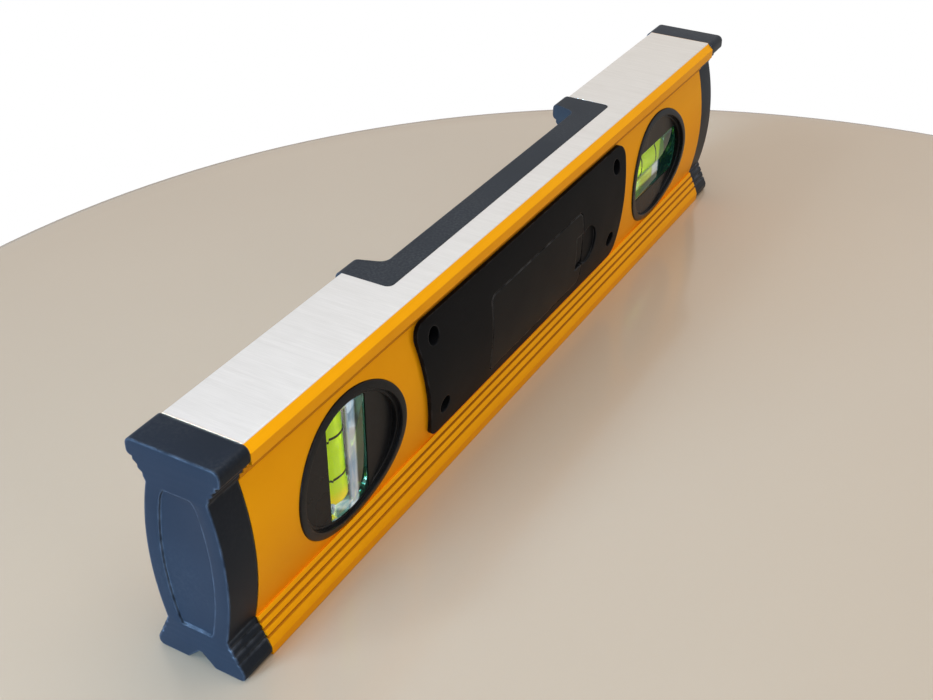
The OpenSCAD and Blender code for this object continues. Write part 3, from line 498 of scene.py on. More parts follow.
def rounded(points, steps=6):
    """Outline through rows of x, y and radius, each corner swapped for an arc of its radius."""
    points = np.asarray(points, float)
    before, after = np.roll(points, 1, 0), np.roll(points, -1, 0)
    parts = []
    for a, b, c in zip(before, points, after):
        corner, radius = b[:2], b[2]
        if radius <= 0:
            parts.append(corner[None])
            continue
        u = (a - b)[:2] / np.linalg.norm((a - b)[:2])
        w = (c - b)[:2] / np.linalg.norm((c - b)[:2])
        half = np.arccos(np.clip(u @ w, -1, 1)) / 2
        centre = corner + radius / np.sin(half) * (u + w) / np.linalg.norm(u + w)
        reach = radius / np.tan(half)
        first, last = corner + reach * u - centre, corner + reach * w - centre
        start = np.arctan2(first[1], first[0])
        turn = (np.arctan2(last[1], last[0]) - start + np.pi) % (2 * np.pi) - np.pi
        angle = start + turn * np.linspace(0, 1, steps + 1)
        parts.append(centre + radius * np.c_[np.cos(angle), np.sin(angle)])
    return np.vstack(parts)


def mirrored(right):
    """Closes an outline drawn for one side with its mirror image."""
    return np.vstack([right, right[::-1] * (-1, 1)])


def around_once(count):
    """Angles of one full turn, the last one short of the first."""
    return np.linspace(0, 2 * np.pi, count, endpoint=False)


def quarter(count):
    """Angles of a quarter circle."""
    return np.linspace(0, np.pi / 2, count)


def ring_faces(rings, around, closed=False):
    """Quads between neighbouring rings of the same number of points."""
    i = np.arange(rings if closed else rings - 1)[:, None] * around
    up = (i + around) % (rings * around)
    j = np.arange(around)[None, :]
    k = (j + 1) % around
    return np.stack([i + j, i + k, up + k, up + j], -1).reshape(-1, 4)


def carried(rings, closed=False):
    """Points and faces of rings carried one after the other, closed round or with flat ends."""
    rings = np.asarray(rings, float)
    count, around = rings.shape[:2]
    faces = ring_faces(count, around, closed).tolist()
    if not closed:
        faces += [list(range(around))[::-1], list(range((count - 1) * around, count * around))]
    return rings.reshape(-1, 3), faces


def tessellated(outer, inner=None):
    """Triangles of a flat region inside one outline, or between two."""
    loops = [outer] if inner is None else [outer, inner]
    return np.array(tessellate_polygon([[(*map(float, p[:2]), 0.0) for p in loop]
                                        for loop in loops]))


def new_object(name, mesh):
    """An object at the origin that shows a mesh with smooth faces."""
    mesh.shade_smooth()
    made = bpy.data.objects.new(name, mesh)
    bpy.context.scene.collection.objects.link(made)
    return made


def finish_mesh(name, surface, finish, body="level", stands_for=(), angle=32.0, weld=True):
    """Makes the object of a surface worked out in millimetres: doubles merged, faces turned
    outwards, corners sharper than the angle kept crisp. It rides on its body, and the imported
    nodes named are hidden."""
    points, faces = surface
    mesh = bpy.data.meshes.new(name)
    mesh.from_pydata((np.asarray(points) * MM).tolist(), [], [list(map(int, f)) for f in faces])
    made = bmesh.new()
    made.from_mesh(mesh)
    if weld:
        bmesh.ops.remove_doubles(made, verts=made.verts, dist=2e-6)
        bmesh.ops.dissolve_degenerate(made, edges=made.edges, dist=1e-6)
    bmesh.ops.recalc_face_normals(made, faces=made.faces)
    made.to_mesh(mesh)
    made.free()
    piece = new_object(name, mesh)
    mesh.set_sharp_from_angle(angle=np.radians(angle))
    mesh.materials.append(finish_of(finish))
    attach(piece, body)
    if stands_for:
        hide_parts(*stands_for)


# The stage

def make_floor(look):
    """Floor: rings of a flat disc about its centre, closed at the pole, with a rounded rim."""
    shares = np.r_[np.linspace(0.002, 0.96, 24), 0.985, 0.995, 1.0, 1.0]
    drop = np.r_[np.zeros(24), 0.0, 0.0006, 0.003, 0.02]
    angle = around_once(180)
    rings = np.stack([np.cos(angle), np.sin(angle), 0 * angle], -1)
    rings = rings[None] * (shares * look.floor_radius)[:, None, None]
    rings[:, :, 2] = -drop[:, None]
    rings[:, :, :2] += np.array(look.floor_centre)
    points, faces = carried(rings)
    mesh = bpy.data.meshes.new("floor")
    mesh.from_pydata(points.tolist(), [], faces)
    floor = new_object("floor", mesh)
    finish, tree, shader = new_finish("floor_satin", {"IOR": 1.45, "Specular IOR Level": 0.5})
    at = object_place(tree)
    cloud = spread(tree, noise(tree, at, 7.0, 4.0), 0.3, 0.7)
    join(tree, blend_colours(tree, cloud, shade_of(look.floor_colour, 0.97), look.floor_colour),
         shader, "Base Color")
    join(tree, spread(tree, noise(tree, at, 900.0, 2.0), 0.3, 0.7, look.floor_roughness - 0.03,
                      look.floor_roughness + 0.03), shader, "Roughness")
    mesh.materials.append(finish)


def make_surround(look):
    """World light: an even pale surround, shown white to the camera and through glass, and
    lighter overhead in gloss."""
    world = bpy.data.worlds.new("surround")
    bpy.context.scene.world = world
    world.use_nodes = True
    tree = world.node_tree
    tree.nodes.clear()
    path = place(tree, "ShaderNodeLightPath").outputs
    seen = maths(tree, "MAXIMUM", path["Is Camera Ray"], path["Is Transmission Ray"])
    up = split(tree, place(tree, "ShaderNodeTexCoord").outputs["Generated"])["Z"]
    wall = spread(tree, up, -0.2, 0.9, look.gloss_low, look.gloss_high)
    level = mixed(tree, path["Is Glossy Ray"], look.surround, wall)
    back = place(tree, "ShaderNodeBackground", {"Color": (1.0, 1.0, 1.0, 1.0),
                                                "Strength": mixed(tree, seen, level, 1.0)})
    join(tree, back.outputs[0], place(tree, "ShaderNodeOutputWorld"), "Surface")


def set_axes(holder, right, up, back, where):
    """Turns a lamp or camera by its own three axes and sets it in its place."""
    turn = np.eye(4)
    turn[:3] = np.stack([right, up, back, where], -1)
    holder.matrix_world = Matrix(turn.tolist())


def make_lamp(name, where, aim, size, power, colour=(1.0, 1.0, 1.0), opening=180.0):
    """A rectangular soft lamp turned towards a point, its light held to an opening in degrees."""
    lamp = bpy.data.lights.new(name, "AREA")
    lamp.shape = "RECTANGLE"
    lamp.size, lamp.size_y = size
    lamp.energy = power
    lamp.color = colour
    lamp.spread = np.radians(opening)
    holder = bpy.data.objects.new(name, lamp)
    bpy.context.scene.collection.objects.link(holder)
    away = np.subtract(where, aim)
    back = away / np.linalg.norm(away)
    side = np.cross((0, 0, 1) if abs(back[2]) < 0.99 else (0, 1, 0), back)
    side /= np.linalg.norm(side)
    set_axes(holder, side, np.cross(back, side), back, where)


def make_camera(look):
    """Camera: at the photograph's place, its axes given as the directions right and down."""
    lens = bpy.data.cameras.new("camera")
    lens.sensor_fit = "HORIZONTAL"
    lens.sensor_width = 36.0
    lens.lens = look.lens
    lens.clip_start = 0.01
    lens.dof.use_dof = False
    holder = bpy.data.objects.new("camera", lens)
    bpy.context.scene.collection.objects.link(holder)
    right = np.array((-0.49624, 0.86818, 0.00247))
    down = np.array((0.48153, 0.27760, -0.83130))
    set_axes(holder, right, -down, -np.cross(right, down), look.camera_place)
    bpy.context.scene.camera = holder


# What a user may change

def colour_setting(name, description, value):
    """A colour in the sidebar."""
    return bpy.props.FloatVectorProperty(name=name, description=description,
                                         default=(*value, 1.0), size=4, min=0.0, max=1.0,
                                         subtype="COLOR")


def length_setting(name, description, value, low, high):
    """A length in the sidebar, in metres."""
    return bpy.props.FloatProperty(name=name, description=description, default=value, min=low,
                                   max=high, unit="LENGTH", subtype="DISTANCE", precision=5)


def number_setting(name, description, value, high=2.0, low=0.0, **more):
    """A plain number in the sidebar."""
    return bpy.props.FloatProperty(name=name, description=description, default=value, min=low,
                                   max=high, **more)


def power_setting(name, description, value, high=100.0):
    """A lamp's power in the sidebar."""
    return number_setting(name, description, value, high, subtype="POWER")


def place_setting(name, description, value, **more):
    """A place in the sidebar, in metres."""
    return bpy.props.FloatVectorProperty(name=name, description=description, default=value,
                                         size=len(value), unit="LENGTH", **more)


class LevelSizes(bpy.types.PropertyGroup):
    """Sizes of the pieces that are made here."""
    cap_rounding: length_setting("Cap rounding", "Radius of an end cap's outer edge",
                                 0.0003, 0.0002, 0.0005)
    bezel_rim: length_setting("Bezel rim", "Width of a bezel's raised rim",
                              0.0022, 0.0012, 0.0024)
    bezel_proud: length_setting("Bezel height", "How far a bezel stands off the wall",
                                0.0004, 0.0002, 0.0006)
    button_rounding: length_setting("Button rounding", "Radius of a button's edge",
                                    0.0006, 0.0002, 0.0008)
    bubble_length: length_setting("Bubble length", "Length of a vial's bubble",
                                  0.011, 0.006, 0.014)
    digit_height: length_setting("Digit height", "Height of the display's digits",
                                 0.0135, 0.006, 0.016)


class LevelColours(bpy.types.PropertyGroup):
    """Colours of the level's finishes."""
    yellow: colour_setting("Yellow", "Anodised yellow of the extrusion", (0.98, 0.43, 0.002))
    yellow_deep: colour_setting("Deep yellow", "The yellow where the coat is thicker",
                                (0.92, 0.385, 0.0015))
    yellow_edge: colour_setting("Rubbed yellow", "The yellow on rubbed corners",
                                (0.98, 0.62, 0.10))
    # Painted shade: the darker yellow painted into the grooves and below the flange.
    yellow_painted_shade: colour_setting("Groove yellow", "The yellow in the foot's grooves and below "
                                  "the flange", (0.31, 0.095, 0.0015))
    bare_metal: colour_setting("Bare metal", "Milled aluminium", (0.74, 0.735, 0.735))
    cap: colour_setting("End caps", "Plastic of the end caps", (0.0105, 0.0140, 0.0205))
    housing: colour_setting("Housing", "Plastic of the display housing", (0.019, 0.021, 0.025))
    cover: colour_setting("Cover", "Plastic of the rear cover, door and bezels",
                          (0.0052, 0.0058, 0.0072))
    button_red: colour_setting("Power button", "Rubber of the power button", (0.42, 0.03, 0.02))
    button_grey: colour_setting("Other buttons", "Rubber of the other buttons",
                                (0.19, 0.20, 0.21))
    acrylic: colour_setting("Acrylic", "Clear block of a vial", (0.93, 0.98, 0.95))
    liquid: colour_setting("Liquid", "Dyed liquid of a vial", (0.58, 0.76, 0.02))
    display: colour_setting("Display", "Ground of the display glass", (0.33, 0.37, 0.29))


class LevelLook(bpy.types.PropertyGroup):
    """Floor, lamps and camera."""
    floor_colour: colour_setting("Floor", "Colour of the plain floor", (0.49, 0.38, 0.275))
    floor_roughness: number_setting("Floor roughness", "How satin the floor is", 0.14, 1.0, 0.05)
    floor_radius: number_setting("Floor radius", "Radius of the floor", 0.2855, 5.0, 0.2,
                                 unit="LENGTH", subtype="DISTANCE")
    floor_centre: place_setting("Floor centre", "Middle of the floor", (0.0492, 0.0979))
    surround: number_setting("Surround", "Strength of the even light all round", 0.44)
    gloss_low: number_setting("Low gloss", "What gloss reflects near the floor", 0.58)
    gloss_high: number_setting("High gloss", "What gloss reflects overhead", 0.95)
    key_power: power_setting("Key lamp", "Power of the large lamp overhead", 7.8, 200.0)
    side_power: power_setting("Side lamp", "Power of the cool lamp at the near end", 2.9)
    fill_power: power_setting("Fill lamp", "Power of the soft lamp facing the battery side", 0.35)
    edge_power: power_setting("Edge lamp", "Power of the small cool lamp over the near end", 0.12)
    lens: number_setting("Lens", "Focal length on a 36 mm sensor", 50.3, 200.0, 10.0)
    camera_place: place_setting("Camera", "Where the camera stands",
                                (0.28891, 0.15319, 0.22243), subtype="TRANSLATION")
    # Painted light: the liquid glows though it is no lamp.
    liquid_glow: number_setting("Liquid glow", "How much the dyed liquid glows", 0.32)


# Shapes of the new pieces, in millimetres

def web_face(z, out=0.0):
    """Side wall: a circle of large radius about an axis inside the level, moved out."""
    return WEB_AXIS + np.sqrt((WEB_R + out) ** 2 - (np.asarray(z, float) - WEB_MID) ** 2)


def along_flank(top, foot, shares_and_heights):
    """Rows of a corner on the sloped flank of the foot, from its share down the flank, its
    height off it and its radius."""
    top, foot = np.array(top), np.array(foot)
    way = (foot - top) / np.linalg.norm(foot - top)
    off = np.array([-way[1], way[0]])
    return [[*(top + share * (foot - top) + height * off), radius]
            for share, height, radius in shares_and_heights]


def level_profile(out):
    """Whole outline of the section in y and z, moved out: flange with three steps, bulged wall,
    a straight flank cut by three V grooves into four ribs, foot with a V groove. The outline is
    mirrored to a closed ring of a fixed number of points."""
    step_z = (FLANGE_Z - WEB_TOP) / FLANGE_STEPS
    flange = [[-50.0, HEIGHT + out, 0], [0.0, HEIGHT + out, 0],
              [HALF_WIDTH + out, HEIGHT + out, 1.8], [HALF_WIDTH + out, FLANGE_Z - out, 1.2]]
    for i in range(FLANGE_STEPS):
        y, z = STEP_Y - STEP_IN * i + out, FLANGE_Z - i * step_z - out
        flange += [[y, z, 0], [y, z - STEP_FACE, 0]]
    flange += [[WEB_END + out, WEB_TOP, 0], [WEB_END + out, 30, 0]]
    z = np.linspace(WEB_TOP, WEB_FOOT + 0.78, 42)[1:]
    wall = np.c_[web_face(z, out), z]
    grooves = [(0.0, 0.0, 0.2)]
    for share in RIB_GROOVES:
        grooves += [(share - 0.04, 0.0, 0.2), (share, -0.55, 0), (share + 0.04, 0.0, 0.2)]
    flank = along_flank((FLANK_TOP[0] + out, FLANK_TOP[1]), (FLANK_FOOT[0] + out, FLANK_FOOT[1]),
                        grooves + [(1.0, 0.0, 0.3)])
    foot = [[*wall[-1], 0], *flank, [HALF_WIDTH + out, -out, 1.2], [3.6 - out, -out, 0],
            [0.25 - out / 2, 3.4 - out, 0], [0, 3.4 - out, 0], [0, HEIGHT, 0]]
    return mirrored(np.vstack([rounded(flange)[1:-1], wall, rounded(foot)[1:-2]]))


def rib_surface(side):
    """Ribs on the sloped flank of the foot: a thin skin along it that rises to four flat ridges
    between three valleys, the lowest one falling off to the foot's edge. Each outline point is a
    share down the flank and a height off it, and the outline is carried along x."""
    high, low, half_length = 0.28, 0.03, 129.95
    outline = [(-0.015, -0.06, 0.0), (-0.015, high, 0.12)]
    for share in RIB_GROOVES:
        outline += [(share - 0.036, high, 0.09), (share - 0.014, low, 0.05),
                    (share + 0.014, low, 0.05), (share + 0.036, high, 0.09)]
    outline += [(0.99, 0.07, 0.06), (1.0, -0.06, 0.0)]
    ring = rounded(along_flank(FLANK_TOP, FLANK_FOOT, outline), 4)
    ring[:, 0] *= side
    rings = np.stack([np.c_[np.full(len(ring), x), ring] for x in (-half_length, half_length)])
    end = tessellated(ring)
    faces = [*ring_faces(2, len(ring)).tolist(), *end[:, ::-1].tolist(),
             *(end + len(ring)).tolist()]
    return rings.reshape(-1, 3), faces


def panel_profile(inset):
    """Recessed panel of an end cap: two arcs that follow the walls, drawn in by cubes towards
    the top and the foot, and cut flat above and below."""
    z = np.linspace(10.5 + inset, 49.0 - inset, 40)
    narrow = 1 - np.clip((z - 45.5) / 3.5, 0, 1) ** 3 * 0.16
    narrow *= 1 - np.clip((12.2 - z) / 1.7, 0, 1) ** 3 * 0.05
    return mirrored(np.c_[web_face(z, -4.2 - inset) * narrow, z])


def plug_profile(inset):
    """Plug behind an end cap: it follows the side walls and stands straight above them."""
    z = np.linspace(7.4, 57.0, 40)
    y = np.where(z < WEB_TOP, web_face(np.minimum(z, WEB_TOP), -1.8 - inset), 6.6 - inset)
    return mirrored(np.c_[y, np.clip(z, 7.35 + inset, 57.05 - inset)])


def end_cap_surface(side, rounding):
    """Cap: the level's outline carried along x, drawn in by a quarter circle at its outer edge,
    with a panel sunk in its face and a hollow plug behind it. Flat faces join the three."""
    gap, sunk, plug_length = 0.2, 0.5, 9.0
    skin = [(CAP_INNER, level_profile(-gap))]
    skin += [(CAP_OUTER - rounding * (1 - np.sin(a)),
              level_profile(-gap - rounding * (1 - np.cos(a)))) for a in quarter(7)]
    panel = [(CAP_OUTER - drop, panel_profile(inset)) for drop, inset in (
        (0.0, -0.12), (0.04, -0.03), (0.12, 0.0), (sunk - 0.15, 0.0), (sunk - 0.04, 0.05),
        (sunk, 0.2))]
    plug = [(CAP_INNER - drop, plug_profile(inset)) for drop, inset in (
        (0.0, 0.15), (plug_length, 0.15), (plug_length, 1.75), (0.0, 1.75))]
    points, faces, ends, at = [], [], [], 0
    for group in (skin, panel, plug):
        block = np.stack([np.c_[np.full(len(p), side * x), p] for x, p in group])
        count, around = block.shape[:2]
        faces += (ring_faces(count, around) + at).tolist()
        points.append(block.reshape(-1, 3))
        ends.append(((at, group[0][1]), (at + (count - 1) * around, group[-1][1])))
        at += count * around
    (skin_inner, skin_outer), (panel_rim, panel_floor), (plug_rim, plug_end) = ends
    for (start, outline), (hole_start, hole) in (
            (skin_outer, panel_rim), (panel_floor, (0, None)), (skin_inner, plug_rim),
            (plug_end, (0, None))):
        found = tessellated(outline, hole)
        faces += np.where(found < len(outline), found + start,
                          found - len(outline) + hole_start).tolist()
    return np.vstack(points), faces


def oval_ring(inset, depth):
    """One ring of a bezel about x = 0: an oval drawn in by an inset, each point at the depth
    that a rule gives for its height."""
    u = around_once(144)
    x, z = (OVAL_A / 2 - inset) * np.cos(u), (OVAL_B / 2 - inset) * np.sin(u) + VIAL_Z
    return np.stack([x, depth(z) if callable(depth) else np.full_like(z, depth), z], -1)


def bezel_surface(centre_x, front, along_level, rim, proud):
    """Bezel: its cross-section is carried round an oval and follows the bulge of the wall. The
    rim has rounded edges, a ledge inside it, a deep wall, a floor, and a slot for the vial,
    where each floor point slides straight across to the slot's side."""
    back, floor, slot_half = 7.0, BLOCK_FACE, 8.0

    def under_rim(drop, least=-np.inf):
        """A depth rule: the rim's face less a drop, but no less than a least depth."""
        return lambda z: np.maximum(web_face(z, proud - drop), least)

    outer_r, inner_r, ledge = 0.3, 0.2, under_rim(1.1, floor)
    section = [(0.0, back)]
    section += [(outer_r * (1 - np.cos(a)), under_rim(outer_r * (1 - np.sin(a))))
                for a in quarter(5)]
    section += [(rim - inner_r + inner_r * np.sin(a), under_rim(inner_r * (1 - np.cos(a))))
                for a in quarter(5)]
    section += [(rim + 0.02, ledge), (rim + 0.85, ledge), (rim + 1.0, under_rim(1.25, floor)),
                (rim + 1.0, floor)]
    rings = [oval_ring(inset, depth) for inset, depth in section]
    slot = rings[-1].copy()
    axis, middle = (2, VIAL_Z) if along_level else (0, 0.0)
    slot[:, axis] = np.clip(slot[:, axis] - middle, -slot_half, slot_half) + middle
    lower = slot.copy()
    lower[:, 1] = back
    points, faces = carried(np.stack([*rings, slot, lower]), closed=True)
    return points * (1, -1 if front else 1, 1) + (centre_x, 0, 0), faces


def turned(radii, along, around=64):
    """Surface of revolution about the z axis: each radius is carried round at its height, and
    the first and last rings close on the axis."""
    u = around_once(around)
    r, h = np.asarray(radii, float)[:, None], np.asarray(along, float)[:, None]
    return np.stack([r * np.cos(u), r * np.sin(u), h + 0 * u], -1)


def liquid_rings():
    """Liquid: a tube with softly rounded ends, turned about its axis."""
    half, radius, end = 13.2, 3.17, 0.9
    end_r = radius - end * (1 - np.sin(quarter(9)))
    end_z = half - end * (1 - np.cos(quarter(9)))
    z = np.r_[-end_z, np.linspace(end - half, half - end, 25)[1:-1], end_z[::-1]]
    radii = np.r_[end_r, np.full(23, radius), end_r[::-1]]
    return turned(np.r_[0.02, radii, 0.02], np.r_[-half, z, half])


def bubble_rings(long):
    """Bubble: a long drop, its radius the square root of a rounded bell along its length."""
    s = np.linspace(-1, 1, 41)
    radii = 2.2 * (1 - np.abs(s) ** 3.2) ** 0.5
    return turned(np.maximum(radii, 0.01), s * long / 2, 48)


def block_rings(half_z, lying):
    """Clear block: behind the bezel a rounded bar, in front of it the part of the oval that shows
    in the slot. Each ring is carried along y and its corners are drawn in at the faces."""
    half_x, window_half, bar_y, squareness = 9.0, 7.9, 6.9, 18.0
    u = around_once(144)
    c, s = np.cos(u), np.sin(u)
    square = (np.abs(c) ** squareness + np.abs(s) ** squareness) ** (-1 / squareness)
    a, b = OVAL_A / 2 - 3.3, OVAL_B / 2 - 3.3
    if lying:
        a, b = b, a

    def bar(y, inset):
        """The rounded bar: a circle raised to a high power, so that it is nearly a rectangle."""
        return np.stack([(half_x - inset) * c * square, y + 0 * u,
                         (half_z - inset) * s * square], -1)

    def window(y, inset):
        """The part in the slot: an oval cut straight at the slot's two sides."""
        x = np.clip((a - inset) * c, inset - window_half, window_half - inset)
        return np.stack([x, y + 0 * u, (b - inset) * s], -1)

    front = [window(BLOCK_FACE, 0.35), window(BLOCK_FACE - 0.12, 0.1),
             window(BLOCK_FACE - 0.3, 0.0), window(bar_y, 0.0), bar(bar_y, 0.15),
             bar(bar_y - 0.15, 0.0)]
    return np.stack([ring * (1, -1, 1) for ring in front] + front[::-1])


def set_vial(rings, lying, centre_x, lift=0.0):
    """Puts rings about the z axis in a vial's place, upright or turned to lie along the level."""
    if lying:
        rings = np.stack([rings[..., 2], rings[..., 1], -rings[..., 0]], -1)
    return carried(rings + (centre_x, 0.0, VIAL_Z + lift))


def button_surface(centre_x, crown, rounding):
    """Button: a capsule outline drawn in ring by ring. The face follows the housing's bulge and
    rises by a cosine crown, its edge a quarter circle. A flange stays behind the front wall."""
    u = around_once(96)

    def capsule(inset, depth=None):
        """The outline drawn in by an inset, on a bulge moved out, or flat at the button's back."""
        r = BUTTON_H / 2 - inset
        shift = np.clip(np.cos(u) * 6, -1, 1) * (BUTTON_L - BUTTON_H) / 2
        x, z = r * np.cos(u) + shift, r * np.sin(u) + BUTTON_Z
        y = np.full_like(z, BUTTON_BACK) if depth is None else web_face(z, depth)
        return np.stack([x + centre_x, -y, z], -1)

    edge, behind = MODULE_PROUD + 0.8 - crown, MODULE_PROUD - 2.1
    rings = [capsule(-BUTTON_FLANGE), capsule(-BUTTON_FLANGE, behind), capsule(0.0, behind)]
    rings += [capsule(rounding * (1 - np.cos(a)), edge - rounding * (1 - np.sin(a)))
              for a in quarter(6)]
    rings += [capsule(rounding + (BUTTON_H / 2 - rounding) * s,
                      edge + crown * np.sin(s * np.pi / 2)) for s in np.linspace(0.15, 0.98, 8)]
    return carried(np.stack(rings))


def on_slope(flat, depth):
    """Points of the sloping display frame carried to the level: x along, z up the slope, all at
    one depth in from its face."""
    tilt, slope_y, slope_z = np.radians(15.86), 12.24, 31.0
    x, z = flat[:, 0], flat[:, 1]
    return np.stack([x, -slope_y + depth * np.cos(tilt) + z * np.sin(tilt),
                     slope_z - depth * np.sin(tilt) + z * np.cos(tilt)], -1)


def bar_outline(start, stop, width):
    """Six-sided bar of a digit between two points, pointed at both ends."""
    way = (stop - start) / np.linalg.norm(stop - start)
    side, tip = np.array([-way[1], way[0]]) * width / 2, way * width / 2
    return np.array([start, start + tip + side, stop - tip + side, stop, stop - tip - side,
                     start + tip - side])


def digit_bars(text, height, width, bar, gap, slant=0.07):
    """Outlines of seven-bar digits for a reading, with a square point, leaning by a slant, and
    how far the reading reaches along."""
    bars_on = {"0": "abcdef", "1": "bc", "2": "abged", "3": "abgcd", "4": "fgbc", "5": "afgcd",
               "6": "afgedc", "7": "abc", "8": "abcdefg", "9": "abcdfg"}
    half = height / 2
    ends = {"a": ((0, height), (width, height)), "b": ((width, height), (width, half)),
            "c": ((width, half), (width, 0)), "d": ((0, 0), (width, 0)),
            "e": ((0, half), (0, 0)), "f": ((0, height), (0, half)),
            "g": ((0, half), (width, half))}
    shapes, x = [], 0.0
    for mark in text:
        if mark == ".":
            square = np.array([[0, -0.5], [0, 0.5], [1, 0.5], [1, -0.5]]) * bar
            shapes.append(square + (x, 0))
            x += bar + gap
            continue
        for key in bars_on[mark]:
            start, stop = np.array(ends[key], float)
            cut = (stop - start) / np.linalg.norm(stop - start) * bar * 0.08
            shapes.append(bar_outline(start + cut, stop - cut, bar) + (x, 0))
        x += width + bar + gap
    return [np.c_[s[:, 0] + slant * s[:, 1], s[:, 1]] for s in shapes], x


def reading_surface(height):
    """Reading: each bar of its digits carried a little way out from the display glass, and the
    ring of the degree sign carried round its own middle."""
    deep, raised, base_z = 2.06, 2.0, 6.0
    shapes, width = digit_bars("0.0", height, height * 0.52, height * 0.13, height * 0.2)
    left = -width / 2
    parts = [carried(np.stack([on_slope(shape + (left, base_z), d) for d in (deep, raised)]))
             for shape in shapes]
    u = around_once(24)
    circle = np.c_[np.cos(u), np.sin(u)]
    middle = (left + width + height * 0.12, base_z + height * 0.88)
    outer, inner = height * 0.13, height * 0.07
    parts.append(carried(np.stack([on_slope(circle * r + middle, d) for r, d in (
        (outer, deep), (outer, raised), (inner, raised), (inner, deep))]), closed=True))
    faces, at = [], 0
    for points, quads in parts:
        faces += [[i + at for i in f] for f in quads]
        at += len(points)
    return np.vstack([points for points, quads in parts]), faces


# Operators, one for each piece or group of like pieces

class LEVEL_OT_extrusion(bpy.types.Operator):
    """Finishes the extruded body, yellow with its top milled bare, and lays the ribs of its foot"""
    bl_idname = "level.extrusion"
    bl_label = "Extruded body"

    def execute(self, context):
        dress("body_extrusion", "anodised_extrusion")
        for side, name in ((1, "ribs_rear"), (-1, "ribs_front")):
            finish_mesh(name, rib_surface(side), "anodised_extrusion",
                        angle=50.0)
        return {"FINISHED"}


class LEVEL_OT_end_caps(bpy.types.Operator):
    """Makes both end caps with rounded edges and a sunk panel"""
    bl_idname = "level.end_caps"
    bl_label = "End caps"

    def execute(self, context):
        rounding = context.scene.level_sizes.cap_rounding / MM
        for side, kind in ((1, "plumb"), (-1, "level")):
            finish_mesh("cap_" + kind, end_cap_surface(side, rounding), "cap_black",
                        stands_for=("end_cap_" + kind,), angle=28.0)
        return {"FINISHED"}


class LEVEL_OT_housing(bpy.types.Operator):
    """Finishes the display housing, its window and the inside of the display"""
    bl_idname = "level.housing"
    bl_label = "Display housing"

    def execute(self, context):
        dress("display_housing", "housing_black")
        dress("display_window", "window_clear")
        dress("display_glass", "display_glass")
        dress("backlight_frame", "frame_white")
        return {"FINISHED"}


class LEVEL_OT_reading(bpy.types.Operator):
    """Draws the reading of the display in seven-bar digits on its glass"""
    bl_idname = "level.reading"
    bl_label = "Reading"

    def execute(self, context):
        height = context.scene.level_sizes.digit_height / MM
        finish_mesh("reading", reading_surface(height), "ring_black", weld=False)
        return {"FINISHED"}


class LEVEL_OT_buttons(bpy.types.Operator):
    """Makes the four buttons under the display, each riding on its own body"""
    bl_idname = "level.buttons"
    bl_label = "Buttons"

    def execute(self, context):
        rounding, crown = context.scene.level_sizes.button_rounding / MM, 0.25
        for i, name in enumerate(("power", "hold", "units", "zero")):
            surface = button_surface((i - 1.5) * BUTTON_PITCH, crown, rounding)
            finish = "button_red" if name == "power" else "button_grey"
            finish_mesh("key_" + name, surface, finish, body="button_" + name,
                        stands_for=("button_" + name,))
        return {"FINISHED"}


class LEVEL_OT_rear_cover(bpy.types.Operator):
    """Finishes the rear cover and the battery door that swings out of it"""
    bl_idname = "level.rear_cover"
    bl_label = "Rear cover and battery door"

    def execute(self, context):
        dress("rear_cover", "cover_black")
        dress("battery_door", "door_black")
        return {"FINISHED"}


class LEVEL_OT_batteries(bpy.types.Operator):
    """Finishes the two cells and their contacts"""
    bl_idname = "level.batteries"
    bl_label = "Cells and contacts"

    def execute(self, context):
        for node in ("battery_cell_lower", "battery_cell_upper"):
            dress(node, "cell_jacket")
        for node in ("contact_springs", "contact_plates"):
            dress(node, "contact_steel")
        return {"FINISHED"}


class LEVEL_OT_electronics(bpy.types.Operator):
    """Finishes the circuit board and what is soldered to it"""
    bl_idname = "level.electronics"
    bl_label = "Circuit board"

    def execute(self, context):
        dress("circuit_board", "board_green")
        dress("controller_chip", "chip_black")
        dress("tilt_sensor", "sensor_metal")
        dress("buzzer", "chip_black")
        dress("tact_switches", "switch_metal")
        return {"FINISHED"}


class LEVEL_OT_screws(bpy.types.Operator):
    """Finishes the screws of the cover and the board"""
    bl_idname = "level.screws"
    bl_label = "Screws"

    def execute(self, context):
        dress("cover_screws", "screw_steel")
        dress("board_screws", "screw_steel")
        return {"FINISHED"}


class LEVEL_OT_vials(bpy.types.Operator):
    """Makes the clear blocks, the dyed liquid and the bubbles of both vials"""
    bl_idname = "level.vials"
    bl_label = "Vials"

    def execute(self, context):
        bubble = context.scene.level_sizes.bubble_length / MM
        for kind, lying, centre_x, half_z, lift in (
                ("plumb", False, VIAL_X, 16.0, 13.0 - bubble / 2),
                ("level", True, -VIAL_X, 19.75, 0.85)):
            finish_mesh("block_" + kind, set_vial(block_rings(half_z, lying), lying, centre_x),
                        "block_clear",
                        stands_for=(kind + "_block", kind + "_plug"))
            finish_mesh("liquid_" + kind, set_vial(liquid_rings(), lying, centre_x),
                        "vial_liquid", stands_for=(kind + "_liquid",))
            finish_mesh("bubble_" + kind, set_vial(bubble_rings(bubble), lying, centre_x, lift),
                        "bubble_clear")
            dress(kind + "_rings", "ring_black")
        return {"FINISHED"}


class LEVEL_OT_bezels(bpy.types.Operator):
    """Makes the four oval bezels round the vials"""
    bl_idname = "level.bezels"
    bl_label = "Bezels"

    def execute(self, context):
        rim = context.scene.level_sizes.bezel_rim / MM
        proud = context.scene.level_sizes.bezel_proud / MM
        for kind, centre_x in (("plumb", VIAL_X), ("level", -VIAL_X)):
            for face in ("rear", "front"):
                surface = bezel_surface(centre_x, face == "front", kind == "level", rim, proud)
                finish_mesh("oval_%s_%s" % (kind, face), surface, "bezel_black",
                            stands_for=("bezel_%s_%s" % (kind, face),))
        return {"FINISHED"}


